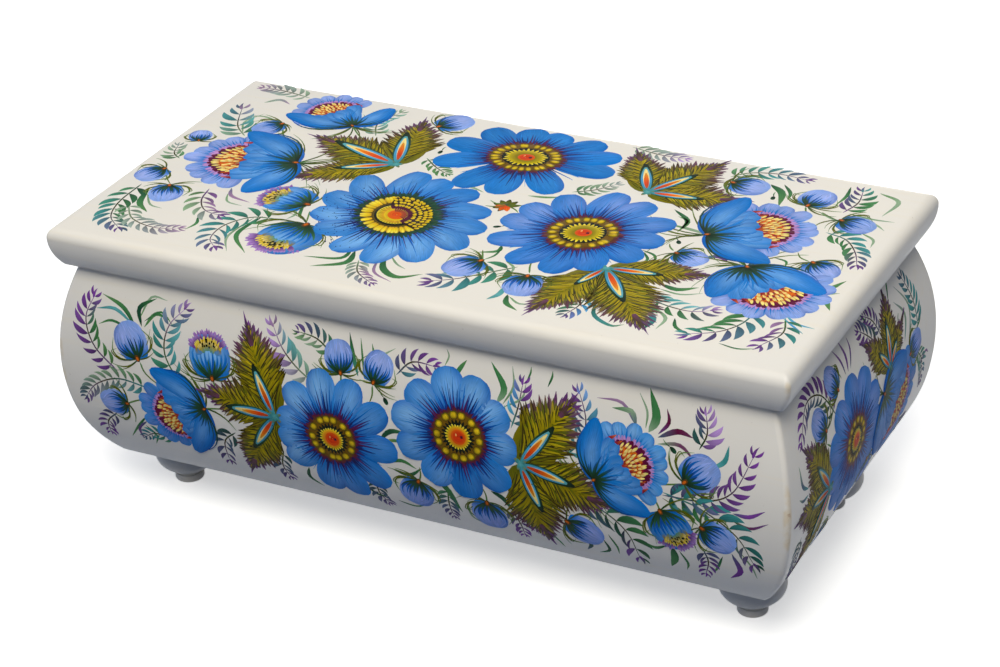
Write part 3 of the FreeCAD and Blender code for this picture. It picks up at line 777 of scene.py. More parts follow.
# The designs of the faces, a row for each motif
LID = dict(fern=[
    (6, "pine green slate / green teal purple", -114-24j, -113.5-38j, -110-48j, -103-54j),
    (4.6, GREYS, -110-38j, -103-46.5j, -93-49.5j, -85-47j),
    (5.6, "purple mauve purple / leaf sage purple", -91.5-19j, -89.5-27j, -84.5-33j, -78-34.5j),
    (6, GREENS, -60-30j, -68-32j, -73-40j, -72.5-49j, -68-54j),
    (7, "sage teal slate / green sea mauve", -102+20j, -109+27j, -115+40j),
    (4, "green sage grey", -113-3j, -117+0j, -119+6j), (4.5, GREYS, -97+55j, -108+57j, -117+57j),
    (4.5, "sage sea sage", -61+36j, -65+45j, -62+56j),
    (3.8, "sage mauve purple / sage grey purple", -22-45j, -18.5-52j, -11-57j),
    (7.2, GREENS, 25-31j, 18-38j, 11-45j, 4.5-49j),
    (4.6, "teal sky purple / pine green slate", 52-38j, 52.5-46j, 51-53j),
    (5.6, "teal sea orchid / green green purple", 68-33j, 75-36.5j, 84-37.5j, 90-34.5j),
    (6.6, "teal slate violet / green green teal", 101.5-31j, 100.5-39j, 96-46j, 88-50.5j),
    (5.2, "green teal purple / mauve purple purple", 111-31j, 113.5-40j, 110-49.5j),
    (5.2, "purple slate purple / green green teal", 102+39j, 104+47j, 102.5+56j),
    (5.2, "teal teal purple / green green purple", 102+24.5j, 109.5+22j, 115+15j, 118.5+7j),
    (5, "leaf teal purple", 60+50j, 65+55j, 74+57.5j, 84+56.5j),
    (3.8, "green sage grey", 18+21.5j, 24+25.5j, 29+32j),
    (3.6, "green leaf green", -37+27j, -31+22j, -25+18.5j),
    (4.5, "sage grey orchid", 22+59j, 32+57j, 42+57j),
], grass=[
    (1.7, BLADE, -65-30j, -66-44j, -57-54j), (0.9, PALE_BLADE, -67-32j, -68-46j, -63-55j),
    (2.2, BLADE, -110-26j, -107-36j, -101-41j), (0.8, PALE_BLADE, -108-30j, -103-36j, -98-37j),
    (0.9, BLADE, -101-20j, -98-21j, -96-24j), (1.4, MAUVE_BLADE, -85-16j, -82-21j, -74-23j),
    (0.8, PALE_BLADE, -84-20j, -81-25j, -75-26j), (1.1, BLADE, -84-38j, -82-42j, -83-47j),
    (1.6, BLADE, -27.5-39j, -28-46j, -39-49j), (2.2, BLADE, -26-40j, -25-48j, -34-54j),
    (2.4, BLADE, -16-39j, -12.5-47j, -6-50.5j, 0.5-46j), (1, MAUVE_BLADE, -17-41j, -14-50j, -6-54j),
    (0.8, PALE_BLADE, -14-39j, -10-43j, -6-45j), (1.6, BLADE, 14-20j, 14.5-24j, 9-27j),
    (0.8, BLADE, 15-22j, 15-27j, 13-31j), (2, "teal sea teal", 27-44j, 27.5-49j, 25.5-53j),
    (1.8, BLADE, 30-48j, 32-53j, 37-56j), (0.9, PALE_BLADE, 31-49j, 36-52j, 41-49j),
    (0.9, PALE_BLADE, 20-29j, 24-32j, 25-38j), (1.5, "pine teal leaf", 56-42j, 59-50j, 66-54j, 69.5-52j),
    (2, "slate teal pine", 70-39j, 76-46j, 75.5-53j), (1.2, PALE_BLADE, 73-39j, 79-44j, 79-51j),
    (2.2, BLADE, 69-25j, 75-26.5j, 80.5-23j), (0.9, PALE_BLADE, 70-28j, 77-29j, 83-26j),
    (1.2, BLADE, 81.5-43j, 84-48j, 90-50.5j), (1, "sea sky sea", 110-29j, 115-33j, 121-34j),
    (0.8, "sea sky sea", 110-31j, 115-35j, 119-38j), (2.4, BLADE, 108-7j, 115-10j, 119-3j),
    (1.2, PALE_BLADE, 110-9j, 116-12.5j, 120-11j), (2.4, BLADE, 112-13j, 117-16j, 121-22j),
    (0.7, BLADE, 99-52j, 105-53j, 110-51j), (2.6, BLADE, 74+49.5j, 79.5+45j, 82+36j),
    (1.3, BLADE, 78+51j, 82+46j, 83+41j), (1.6, PALE_BLADE, 108+56j, 115.5+52j, 114+41j),
    (1, PALE_BLADE, 104+39j, 112+38j, 119+38.5j), (0.9, PALE_BLADE, 106+38j, 114+35j, 118+32j),
    (1.3, "bark moss leaf", 62+51j, 60.5+45j, 63.5+39j), (1.8, BLADE, 53+22j, 60+16j, 60+8j),
    (1, BLADE, 60+10j, 60+16j, 56+18j), (0.9, PALE_BLADE, 95+37j, 100+34j, 103+33j),
    (1, PALE_BLADE, 112+28j, 117+25j, 118+20j), (1.2, BLADE, 98+57j, 99+50j, 98+43j),
    (1.6, PALE_BLADE, 56+12j, 64+11j, 72+9j), (1, BLADE, 55-7j, 60-9j, 62-14j),
    (1, BLADE, 56-8j, 59-12j, 58-15j), (0.9, BLADE, 80-9j, 84-6j, 88-5j),
    (0.9, BLADE, 94+3j, 98+2j, 99-2j), (1.3, "sage sage sage", -21+12j, -14+13j, -8+11j),
    (1.3, "sage leaf sage", 6+14j, 12+15j, 19+18j), (1, PALE_BLADE, -58-22j, -56-25j, -57-29j),
    (1.2, BLADE, -57-18j, -55-24j, -53-27j), (1, "leaf sage grey", -90+16j, -96+26j, -95+32j),
    (0.9, PALE_BLADE, -97+34j, -104+36j, -110+34j), (0.8, PALE_BLADE, -104+22j, -108+30j, -105+38j),
    (1.6, GREYS, -110+46j, -106+50j, -101+48j),
    (2.2, "teal purple purple", 74.5-4.5j, 78-2.5j, 82-4.5j),
], stalk=[
    (-95+33j, -89+24j, -80+17j), (-113-11j, -109-17j, -105-21j), (-53-21j, -51-26j, -49.5-30j),
    (13-31j, 11-27j, 10-25j), (30-33.5j, 28-29j, 27.5-26j), (90+38.5j, 91+36j, 92+34j),
    (103+33j, 99+35j, 96+37j), (64-4j, 62-2j, 61+0j), (104.5+4.5j, 101+6j, 99+9j),
    (-45+50j, -48+46j, -49+42j), (-72+40j, -66+34j, -60+30j), (-75+8j, -70+12j, -64+16j),
    (88.5-5.5j, 83-2j, 79+1j),
], droplet=[
    (78+42j, -80), (62.5+3j, -60), (8-8.5j, -150), (-35+34j, -90),
], leaf=[
    (-44+19j, [(-51+53j, -51.5+40j, 19), (-80+29j, -69+27j, 19), (-73-3j, -60+10j, 15)]),
    (40+30j, [(25+57j, 32+47j, 15), (55+59j, 49+46j, 19), (71+35j, 57+31.5j, 17)]),
    (50-22j, [(81-15j, 66-20j, 16), (76-53j, 62.5-38j, 22), (40-55j, 46-34j, 19)]),
], red_bud=[
    (3+5j, 4.5),
], bud=[
    (-98+28.5j, 5.6, -95+33.5j), (-41+55j, 6.4, -45+50j), (-116+15j, 4.2, -114+10j),
    (-115.5-16.5j, 5.6, -113-11j), (-102.5-27j, 6, -105-21.5j), (9.5-37j, 6.6, 13-31j),
    (31.5-41.5j, 6.6, 30-34j), (68.5+45.5j, 6.4, 62+46.5j), (91.5+45.5j, 6.2, 90+38.5j),
    (109+32j, 6, 103+34j), (110+0.5j, 6, 104.5+5.5j), (70.5-7j, 5.6, 64-4.5j),
], thistle=[
    (-64.5-16.5j, 8.8, -56-17.5j), (-51.5-40j, 10.4, -49-29.5j),
], bell=[
    (69+9.5j, 82.5+18.5j, (73+38j, 94.5+0.5j)), (88.5-5.5j, 100.5-16.5j, (116-15j, 87.5-27.5j)),
    (-75+8j, -92+3.5j, (-82-17j, -103+22j)), (-72+40j, -83+47j, (-98+42j, -67+58j)),
], daisy=[
    (-7+39j, [-36.5+42j, -33.5+24.5j, -18.5+11.5j, -4+11j, 13+18j, 25+37j, 22.5+50j, 12.5+58.5j, -2+60j,
     -14.5+60j, -28+55.5j], 11.4, 11.6, (1.12, 0.92, 0), ("blue", 180, 180), 24),
    (33.5-3.5j, [8.5+9j, 17.5+19.5j, 34+26.5j, 46+23j, 58+12.5j, 59.5-1.5j, 56.5-15j, 45-26j, 34-31.5j,
     20-29j, 7.5-17.5j, 5.5-2j], 11, 11.4, (1.06, 1, 20), ("lilac", 120, 130), 20),
    (-26-14j, [-49+8.5j, -32+17j, -21.5+14.5j, -8.5+9.5j, 1.5-3j, 5-14j, 3.5-28j, -5-40j, -19-46j,
     -33-42.5j, -46-31.5j, -52.5-20j, -54-7j], 12.6, 11.8, (0.92, 1.06, 42), ("pale_blue", 225, 150), 0),
], speckles=[
    (-26-14j, 13, 120, (130, 265), 1.1),
])

FRONT = dict(fern=[
    (5, "purple purple violet / leaf green violet", -103+41j, -111+48j, -114+57j, -111+65j),
    (5.2, "green teal orchid / teal sea purple", -80+42j, -84.5+51j, -83+60j, -77+67j),
    (4.4, "teal grey purple / green sage slate", -92+37j, -103+38j, -112+34j, -117+28j),
    (3.6, VIOLETS, -106+24j, -111+19j, -112+13j), (4.6, DUSKS, -61+27j, -66+22j, -67+12j),
    (3.8, DUSKS, -44+24j, -46+17j, -45+11j),
    (5.2, "sage orchid orchid / sage sea mauve", -31+52j, -37+56j, -42+61j, -46+68j),
    (3.8, "green sage leaf / green slate purple", -24+62j, -30+66j, -37+67j),
    (4.4, "slate purple violet / teal purple purple", -2+60j, 3+65j, 11+65j),
    (4.4, "teal sky purple / teal purple violet", 37+51j, 39+58j, 40+66j),
    (4.6, "teal slate purple / sea teal lilac", 55+46j, 60+52j, 61+59j, 58+67j),
    (4.4, "pine slate purple / purple orchid orchid", 97+57j, 99+62j, 98+68j),
    (5.4, "slate purple purple / teal purple violet", 86+40j, 99+41j, 108+46j, 114+59j),
    (6.2, "teal teal pine / green green purple", 86+41j, 98+38j, 109+31j, 114+21j),
    (6.4, "teal green pine / slate pine violet", 58+31j, 67+29j, 74+22j, 76+11j),
    (3.8, VIOLETS, 98+23j, 99+18j, 97+11j),
    (3.4, DUSKS, -12+20j, -12+14j, -10+9j),
    (3.4, "green slate purple", 14+24j, 13+17j, 13+10j),
    (3.6, VIOLETS, 35+22j, 37+15j, 37+9j),
    (3.4, "green teal slate", -86+17j, -93+18j, -98+15j),
], grass=[
    (1.6, BLADE, -95+57j, -100+63j, -108+66j), (1.2, "teal sea teal", -96+58j, -103+62j, -110+61j),
    (1.6, DARK_BLADE, -93+58j, -94+64j, -88+68j), (1.2, "leaf green green", -92+58j, -88+63j, -83+62j),
    (0.7, BLADE, -92+60j, -86+64j, -81+60j), (0.8, PALE_BLADE, -94+60j, -90+68j, -84+68j),
    (0.9, BLADE, -97+56j, -104+58j, -109+56j), (0.9, BLADE, -94+26j, -99+20j, -104+13j),
    (1.2, MAUVES, -95+23j, -99+19j, -99+13j), (0.9, BLADE, -96+21j, -93+17j, -95+12j),
    (1.4, DARK_BLADE, -90+42j, -86+45j, -81+42j), (1.5, "teal green pine", -15+57j, -17+63j, -19+70j),
    (0.7, BLADE, -13+58j, -14+64j, -15+69j), (1.1, BLADE, -11+60j, -10+64j, -11+68j),
    (0.7, PALE_BLADE, -9+61j, -7+65j, -3+68j), (2.2, "sage green green", 32+58j, 34+63j, 29+70j),
    (0.8, PALE_BLADE, 34+58j, 37+64j, 36+70j), (0.7, PALE_BLADE, 34+57j, 40+61j, 41+66j),
    (0.6, PALE_BLADE, 14+66j, 15+69j, 14+71j), (1.5, BLADE, 17+62j, 19+66j, 21+69j),
    (1.7, DARK_BLADE, -8+37j, -4+41j, 2+41.5j), (1.2, "lime leaf green", -8+36j, -3+38j, 2+38j),
    (1.4, DARK_BLADE, -36+19j, -37+14j, -33+10j), (1.4, BLADE, -7+29j, -1+31j, 4+29j),
    (1.4, DARK_BLADE, -5+27j, 1+26j, 6+30j), (1.2, DARK_BLADE, -16+16j, -13+13j, -9+13j),
    (2.2, "pine green green", 10+27j, 14+23j, 17+14j), (1.8, DARK_BLADE, 29+27j, 33+25j, 36+20j),
    (0.8, BLADE, -6+12j, 0+11j, 5+14j), (0.8, PALE_BLADE, 20+20j, 20+13j, 24+10j),
    (2.8, "sage green green", 81+59j, 83+64j, 80+72j), (1, MAUVE_BLADE, 77+60j, 72+66j, 64+66j),
    (1.8, "slate sage green", 77+60j, 75+64j, 69+64j), (1.2, "purple maroon plum", 84+59j, 87+63j, 86+67j),
    (1.8, "slate maroon plum", 84+58j, 90+61j, 95+60j), (1.2, "sage plum plum", 84+56j, 91+57j, 96+53j),
    (0.7, PALE_BLADE, 80+60j, 80+65j, 77+70j), (2.6, "pine green green", 88+21j, 88+16j, 86+11j),
    (1.2, BLADE, 86+21j, 82+19j, 78+21j), (0.9, BLADE, 90+20j, 92+15j, 91+11j),
    (1.9, "slate violet violet", 107+24j, 109+17j, 105+12j), (0.9, BLADE, 104+22j, 102+17j, 100+13j),
    (0.7, PALE_BLADE, 110+25j, 113+20j, 114+15j), (1.4, "slate violet purple", 108+39j, 113+39j, 118+42j),
    (1.1, "green plum purple", 107+37j, 113+35j, 119+38j),
    (1.6, "sea teal teal", 101+52j, 105+55j, 106+60j), (1.1, DARK_BLADE, 65+17j, 66+12j, 62+9j),
    (0.8, BLADE, 67+20j, 69+15j, 69+11j), (1.6, "slate pine slate", 56+17j, 60+13j, 58+9j),
    (0.7, BLADE, 47+14j, 49+10j, 50+7j), (0.7, BLADE, 48+66j, 49+69j, 49+71j),
    (0.6, BLADE, 41+66j, 42+69j, 42+71j),
], stalk=[
    (-94+46j, -92+42j, -86+38j), (-101+29j, -97+31j, -92+33j), (-67+46j, -66+42j, -64+38j),
    (-71+34j, -66+35j, -60+36j), (-21+57j, -21+54j, -22+52j), (-10+55j, -10+52j, -11+49j),
    (4+24j, 5+27j, 5+30j), (27+22j, 27+25j, 26+28j), (53+22j, 50+26j, 48+30j), (64+40j, 58+40j, 52+40j),
    (92+45j, 88+44j, 84+43j), (97+32j, 92+36j, 86+39j), (85+34.5j, 84+37j, 82+40j),
    (27+44j, 33+42j, 39+40j),
], droplet=[
    (-6+52j, -60), (88+56j, -40), (-77+16j, -100),
], leaf=[
    (-45+37j, [(-55+67j, -51.5+52j, 18), (-71.5+41j, -61+37j, 15), (-60+10j, -54+24j, 15)], "plum violet"),
    (40+40j, [(57+64j, 50+53j, 20), (69+31j, 56+36.5j, 18), (46+10j, 45.5+25j, 19)], "plum violet"),
], bud=[
    (-97.5+52.5j, 6.5, -94+45.5j), (-106+28j, 5.2, -100.5+29j), (-22+62j, 5.4, -21+56.5j),
    (-8+61j, 5.4, -10+55j), (2+18.5j, 6.2, 4+24.5j), (27+15.5j, 6.4, 27+22j), (59+18.5j, 6.2, 53+22j),
    (97.5+50j, 6.3, 92+45j), (103+28.5j, 5.8, 97+32j),
], thistle=[
    (-68+53j, 7.6, -67+45.5j), (88.5+28j, 7.2, 85+34.5j),
], bell=[
    (-71+34j, -82+29j, (-80+13.5j, -91+43j), "blue lilac"),
    (64+40j, 74+47j, (65.5+60j, 82.5+33j), "blue pale_blue"),
], daisy=[
    (-25+33.5j, [-40+50j, -29+57j, -17+55.5j, -5.5+48j, -2+34j, -7+18.5j, -19+10j, -30+10.5j, -41+20j,
     -44.5+29j, -44.5+38.5j], 8.6, 10.6, (1, 1, 0), ("pale_blue", 150, 130), 14),
    (19.5+44.5j, [2+58j, 14+66j, 26+64.5j, 35.5+56j, 39+43j, 34.5+28.5j, 21.5+22j, 8+25.5j, -1.5+36j,
     -3.5+48j], 8.8, 11.6, (1, 1, 0), ("pale_blue", 110, 150), 14),
])

END = dict(fern=[
    (4.6, "pine slate purple / purple purple violet", -24+54j, -31+64j, -41+66j, -50+58j),
    (4.4, "slate purple purple / pine slate purple", 14+58j, 8+64j, 3+68j),
    (4.6, "teal teal slate", 46+48j, 45+58j, 41+68j), (3.6, DUSKS, -52+28j, -54+22j, -52+14j),
    (3.6, DUSKS, 32+20j, 38+16j, 45+15j), (3.6, GREENS, 45+40j, 50+34j, 52+25j),
    (3.4, DUSKS, -14+14j, -10+10j, -3+9j), (3.4, "slate purple purple", 17+60j, 14+66j, 9+70j),
], grass=[
    (0.9, MAUVES, -12+61j, -13+66j, -16+71j),
    (1.2, "purple purple mauve", -10+61j, -9+66j, -11+72j),
    (0.9, MAUVES, -8+61j, -5+66j, -5+70j),
    (1.4, "teal slate sage", -49+43j, -53+46j, -54+53j),
    (1, "teal slate sage", -49+41j, -53+41j, -56+43j), (1.2, BLADE, -50+18j, -53+14j, -56+14j),
    (1.2, "teal sage grey", 34+49j, 37+57j, 31+64j), (0.9, "teal sage grey", 38+48j, 41+58j, 34+68j),
    (1, BLADE, 44+48j, 48+50j, 50+54j), (0.9, BLADE, 11+64j, 9+69j, 7+72j),
    (0.9, BLADE, 28+66j, 30+70j, 31+72j), (1.6, DARK_BLADE, 14+24j, 18+19j, 24+19j),
    (1.1, BLADE, -34+18j, -36+13j, -33+9j), (1.2, BLADE, 8+12j, 13+10j, 19+12j),
    (1, MAUVES, 47+33j, 53+36j, 56+34j),
], stalk=[
    (-33+49j, -29+46j, -24+44j), (37+42.5j, 33+43j, 30+44j), (-19+56j, -17+53j, -16+50j),
    (14+41j, 17+44j, 20+47j),
], droplet=[
    (-17+64j, 120), (31+57j, -120),
], leaf=[
    (-31+33j, [(-49+56j, -41+45j, 15), (-57+36j, -45+34.5j, 14), (-49+13j, -42+22j, 14)]),
    (20+47j, [(26+70j, 22+61j, 12), (4+63j, 13+55j, 11), (35+57j, 27+53j, 9)]),
], bud=[
    (-36+57j, 5.4, -31+51.5j), (-22.5+63.5j, 5, -18+58j), (43+43.5j, 5.4, 37+42.5j), (6+18j, 5.4, 4+24j),
    (-26+12j, 4.6, -22+17j),
], bell=[
    (14+41j, 26.5+31.5j, (35+43j, 15+19j), "blue lilac"),
], daisy=[
    (-10+38j, [-24+55j, -11+60j, 2+57j, 10.5+46j, 12+34j, 6.5+22j, -4+15j, -16+15j, -27+22j, -32+33j,
     -31.5+45j], 7.8, 11.8, (1, 1, 0), ("lilac", 60, 120), 14),
])

# Each piece's kind, its lift off the face and its motifs, in the order of painting
PIECES = [
    ("ferns", 0.04, (fern, grass, stalk, droplet)),
    ("leaves", 0.06, (leaf,)),
    ("buds", 0.08, (red_bud, bud, thistle)),
    ("bells", 0.10, (bell,)),
    ("daisies", 0.12, (daisy, speckles)),
]


def garland(place, face, body, design, seed, material, mirror):
    """Paints one face. Each kind of motif is a piece of its own, laid over the ones before. Only
    the daisies and their speckles lie over each other inside their piece."""
    for number, (kind, lift, motifs) in enumerate(PIECES):
        art = Art(f"{place}_{kind}", face, body, lift, 10 * seed + number, mirror)
        for motif in motifs:
            for values in design.get(motif.__name__, ()):
                motif(art, *values)
                if motif not in (daisy, speckles):
                    art.lift = lift
        art.finish(material)


# Materials


class Nodes:
    """A node tree, with short ways to add to it."""

    def __init__(self, tree):
        self.tree = tree

    def put(self, socket, value):
        """Joins an input to another node's output, or sets it to a number or a colour."""
        if isinstance(value, bpy.types.NodeSocket):
            self.tree.links.new(value, socket)
        else:
            socket.default_value = (*value, 1) if socket.type == "RGBA" else value

    def add(self, kind, inputs, **settings):
        """The outputs of a new node."""
        node = self.tree.nodes.new("ShaderNode" + kind)
        for name, value in settings.items():
            setattr(node, name, value)
        for name, value in inputs.items():
            self.put(node.inputs[name], value)
        return node.outputs

    def noise(self, vector, scale, detail=3.0, stretch=(1, 1, 1)):
        """A noise texture over stretched coordinates."""
        stretched = self.add("Mapping", {"Vector": vector, "Scale": stretch})[0]
        return self.add("TexNoise", {"Vector": stretched, "Scale": scale, "Detail": detail})["Fac"]

    def spread(self, value, low, high, to_low=0.0, to_high=1.0):
        """A value taken smoothly from one range to another."""
        inputs = {"Value": value, "From Min": low, "From Max": high, "To Min": to_low, "To Max": to_high}
        return self.add("MapRange", inputs, interpolation_type="SMOOTHSTEP")[0]

    def blend(self, first, second, factor, kind="MIX"):
        """A mix of two colours. The inputs are the factor and the pair for colours."""
        inputs = {0: factor, 6: first, 7: second}
        return self.add("Mix", inputs, data_type="RGBA", blend_type=kind)[2]

    def sum(self, operation, first, second=0.0):
        """An operation on two values."""
        return self.add("Math", {0: first, 1: second}, operation=operation)[0]

    def times(self, *values):
        """The product of some values."""
        product = values[0]
        for value in values[1:]:
            product = self.sum("MULTIPLY", product, value)
        return product

    def parts(self, vector):
        """The three parts of a vector."""
        return self.add("SeparateXYZ", {0: vector})

    def seen_or_lit(self, seen, lit):
        """One colour for what the camera and reflections see, and another for the light that the
        surface gives back."""
        path = self.add("LightPath", {})
        direct = self.sum("MAXIMUM", path["Is Camera Ray"], path["Is Glossy Ray"])
        return self.blend(lit, seen, self.sum("MAXIMUM", direct, path["Is Transmission Ray"]))


class Finish(Nodes):
    """A material with one Principled node."""

    def __init__(self, name, roughness, **settings):
        self.material = bpy.data.materials.new(name)
        self.material.use_nodes = True
        super().__init__(self.material.node_tree)
        self.inputs = self.tree.nodes["Principled BSDF"].inputs
        self.inputs["Roughness"].default_value = roughness
        for socket, value in settings.items():
            self.inputs[socket.replace("_", " ")].default_value = value

    def made(self, colour, bumps):
        """Joins the colour and the chained bumps, each a height, a strength and a distance in
        metres, and returns the material."""
        self.put(self.inputs["Base Color"], colour)
        normal = {}
        for height, strength, distance in bumps:
            bump = self.add("Bump", {"Height": height, "Strength": strength, "Distance": distance, **normal})
            normal = {"Normal": bump[0]}
        for socket, value in normal.items():
            self.put(self.inputs[socket], value)
        return self.material


def paint_material():
    """Lacquered paint: the stroke's own colour, with the fine lines that the hairs leave."""
    paint = Finish("brush_paint", 0.45, IOR=1.15, Specular_IOR_Level=0.2, Coat_Weight=0.02,
                   Coat_Roughness=0.2)
    colour = paint.add("VertexColor", {}, layer_name="paint")["Color"]
    bristle = paint.add("UVMap", {}, uv_map="bristle")[0]
    hairs = paint.noise(bristle, 1.0, 2.0, (3.2, 0.22, 1))
    pools = paint.noise(bristle, 1.0, 2.0, (0.5, 0.3, 1))
    colour = paint.blend(colour, (1.25, 1.25, 1.25), paint.spread(hairs, 0.5, 0.8), "MULTIPLY")
    colour = paint.blend(colour, (0.0, 0.0, 0.02), paint.spread(hairs, 0.5, 0.22, 0.0, 0.2))
    colour = paint.blend(colour, (0.0, 0.0, 0.0), paint.spread(pools, 0.45, 0.2, 0.0, 0.12))
    return paint.made(colour, [(hairs, 0.5, 0.00003)])


def bare_wood(finish, place):
    """Pale wood with its grain along X, and the grain as a height."""
    grain = finish.noise(place, 1.0, 6.0, (14, 260, 260))
    rings = finish.noise(place, 1.0, 3.0, (4, 46, 46))
    colour = finish.blend((0.56, 0.37, 0.19), (0.67, 0.49, 0.28), finish.spread(rings, 0.35, 0.65))
    return finish.blend(colour, (0.36, 0.21, 0.09), finish.spread(grain, 0.55, 0.8, 0.0, 0.55)), grain


def inner_mask(finish, place, normal, height, slope):
    """1 on the faces that look into the case: the walls' inner sides and the inner floor. slope is
    the upward part of the surface's normal."""
    flat = finish.add("VectorMath", {0: place, 1: (1, 1, 0)}, operation="MULTIPLY")[0]
    facing = finish.add("VectorMath", {0: flat, 1: normal}, operation="DOT_PRODUCT")["Value"]
    walls = finish.times(
        finish.spread(facing, -0.02, -0.03),
        finish.spread(height, INNER_FLOOR - 0.002, INNER_FLOOR - 0.001),
    )
    floor = finish.times(
        finish.spread(height, INNER_FLOOR - 0.001, INNER_FLOOR - 0.0005),
        finish.spread(height, 0.04, 0.035),
        finish.spread(slope, 0.8, 0.9),
    )
    return finish.sum("MAXIMUM", walls, floor)


def lacquer_material():
    """Ivory lacquer over wood: slow changes of tone, faint brush marks, specks, yellowed edges and a brown
    band along the joint on its steep faces. The inside of the case is bare wood."""
    ivory = Finish("ivory_lacquer", 0.38, Specular_IOR_Level=0.2, Coat_Weight=0.06, Coat_Roughness=0.15)
    coordinates = ivory.add("TexCoord", {})
    place, normal = coordinates["Object"], coordinates["Normal"]
    axes, slope = ivory.parts(place), ivory.parts(normal)["Z"]
    clouds = ivory.noise(place, 14.0)
    marks = ivory.noise(place, 1.0, 3.0, (28, 520, 520))
    specks = ivory.noise(place, 900.0, 2.0)
    waves = ivory.noise(place, 60.0, 2.0)
    wear = ivory.noise(place, 170.0, 4.0)
    edges = [
        ivory.spread(ivory.sum("ABSOLUTE", axes[axis]), edge - EDGE_BAND, edge)
        for axis, edge in (("X", EDGE_X), ("Y", EDGE_Y))
    ]
    corner = ivory.sum("ADD", *edges)
    worn = ivory.times(ivory.spread(corner, 1.2, 1.7), ivory.spread(wear, 0.42, 0.62), 0.55)
    chips = ivory.times(ivory.spread(corner, 1.5, 1.8), ivory.spread(wear, 0.6, 0.66), 0.8)
    # A brown band on the steep faces just below and above the joint, broken up by noise
    joint_band = ivory.times(
        ivory.spread(axes["Z"], JOINT - 0.0016, JOINT - 0.0002),
        ivory.spread(axes["Z"], JOINT + 0.0008, JOINT + 0.0001),
        ivory.spread(wear, 0.35, 0.65, 0.15, 0.6),
        ivory.spread(ivory.sum("ABSOLUTE", slope), 0.75, 0.45),
    )
    wood, grain = bare_wood(ivory, place)
    inner = inner_mask(ivory, place, normal, axes["Z"], slope)
    ground = (0.800, 0.765, 0.700)
    for colour, share in (
        ((0.770, 0.745, 0.700), ivory.spread(clouds, 0.35, 0.65)),
        ((0.80, 0.74, 0.62), ivory.spread(marks, 0.5, 0.75, 0.0, 0.35)),
        ((0.33, 0.27, 0.2), ivory.spread(specks, 0.74, 0.8, 0.0, 0.45)),
        ((0.66, 0.52, 0.30), worn),
        ((0.42, 0.24, 0.13), chips),
        ((0.40, 0.31, 0.21), joint_band),
        (wood, inner),
    ):
        ground = ivory.blend(ground, colour, share)
    rough = ivory.times(grain, inner)
    return ivory.made(ground, [(waves, 0.25, 0.0004), (marks, 0.35, 0.00004), (rough, 0.3, 0.0001)])


def varnished_material():
    """Pale varnished wood."""
    birch = Finish("varnished_birch", 0.42, Coat_Weight=0.2, Coat_Roughness=0.25)
    colour, grain = bare_wood(birch, birch.add("TexCoord", {})["Object"])
    return birch.made(colour, [(grain, 0.4, 0.0001)])


def brass_material():
    """Small worn brass fittings."""
    brass = Finish("brass", 0.3, Metallic=1.0)
    place = brass.add("TexCoord", {})["Object"]
    tarnish = brass.noise(place, 420.0, 4.0)
    scratches = brass.noise(place, 1.0, 2.0, (300, 5200, 5200))
    colour = brass.blend((0.78, 0.56, 0.2), (0.46, 0.3, 0.1), brass.spread(tarnish, 0.5, 0.75))
    brass.put(brass.inputs["Roughness"], brass.spread(tarnish, 0.3, 0.7, 0.24, 0.42))
    return brass.made(colour, [(scratches, 0.25, 0.00002)])


def dress_nodes():
    """Gives every carried-over piece its finish by its slot."""
    finishes = {
        "ivory_lacquered_wood": lacquer_material(),
        "varnished_wood": varnished_material(),
        "brass": brass_material(),
    }
    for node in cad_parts.values():
        for place in node.material_slots:
            place.material = finishes[place.material.name.split(".")[0]]


# Room


def make_camera():
    data = bpy.data.cameras.new("camera")
    data.lens, data.sensor_width = CAMERA_LENS, CAMERA_SENSOR
    camera = add_object("camera", data)
    level = Vector((math.sin(CAMERA_YAW), math.cos(CAMERA_YAW), 0))
    ahead = level * math.cos(CAMERA_DOWN) - Vector((0, 0, math.sin(CAMERA_DOWN)))
    right = Vector((math.cos(CAMERA_YAW), -math.sin(CAMERA_YAW), 0))
    up = right.cross(ahead)
    turned_right = right * math.cos(CAMERA_ROLL) + up * math.sin(CAMERA_ROLL)
    turned_up = up * math.cos(CAMERA_ROLL) - right * math.sin(CAMERA_ROLL)
    turn = Matrix((turned_right, turned_up, -ahead)).transposed().to_4x4()
    camera.matrix_world = Matrix.Translation(CAMERA_PLACE) @ turn
    bpy.context.scene.camera = camera


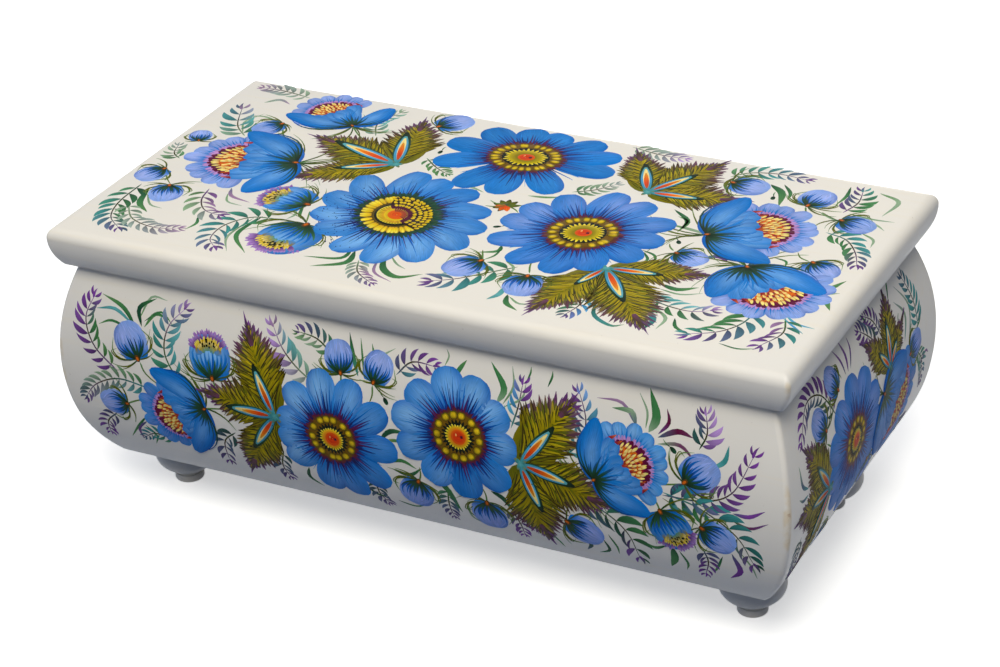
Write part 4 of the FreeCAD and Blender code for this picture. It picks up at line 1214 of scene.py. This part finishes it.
def make_lamp(name, place, size, power, colour):
    """A square soft lamp that faces the casket."""
    data = bpy.data.lights.new(name, "AREA")
    data.size, data.energy, data.color = size, power, colour
    lamp = add_object(name, data)
    lamp.location = place
    aim = Vector((0, 0, 0.05)) - Vector(place)
    lamp.rotation_euler = aim.to_track_quat("-Z", "Y").to_euler()


def make_room():
    """A pale floor, a pale surround and soft lamps."""
    mesh = bpy.data.meshes.new("floor")
    corners = [(x, y, 0) for x, y in ((-4, -4), (4, -4), (4, 4), (-4, 4))]
    mesh.from_pydata(corners, [], [(0, 1, 2, 3)])
    floor = add_object("floor", mesh)
    pale = Finish("floor", 0.9, Specular_IOR_Level=0.0, Emission_Strength=1.0)
    pale.put(pale.inputs["Emission Color"], pale.seen_or_lit((0.5, 0.5, 0.5), (0.0, 0.0, 0.0)))
    mesh.materials.append(pale.made(pale.seen_or_lit((0.98, 0.98, 0.98), (0.035, 0.07, 0.16)), []))
    world = bpy.data.worlds.new("surround")
    world.use_nodes = True
    bpy.context.scene.world = world
    sky = Nodes(world.node_tree)
    colour = sky.seen_or_lit((1.0, 1.0, 1.0), (0.16, 0.168, 0.185))
    sky.put(sky.tree.nodes["Background"].inputs["Color"], colour)
    make_lamp("sky_lamp", (0.05, -0.15, 1.5), 1.2, 7.3, (1.0, 0.99, 0.97))
    make_lamp("front_lamp", (0.34, -0.9, 1.28), 0.7, 15.8, (1.0, 0.96, 0.86))
    make_lamp("left_lamp", (-1.4, -0.5, 0.2), 0.6, 1.3, (0.3, 0.55, 1.0))
    make_lamp("back_lamp", (-0.35, 1.5, 0.2), 0.8, 4.5, (1.0, 0.99, 0.96))


make_camera()
make_room()
bpy.context.scene.view_settings.view_transform = "Standard"
dress_nodes()
brush_paint = paint_material()
faces = [
    ("lid", lid_face(), "lid", LID, False),
    ("front", side_face("front_wall", (0, -1)), "case", FRONT, False),
    ("right_end", side_face("right_end_wall", (1, 0)), "case", END, False),
    ("back", side_face("back_wall", (0, 1)), "case", FRONT, True),
    ("left_end", side_face("left_end_wall", (-1, 0)), "case", END, True),
]
for number, (place, face, body, design, mirror) in enumerate(faces):
    garland(place, face, body, design, number, brush_paint, mirror)
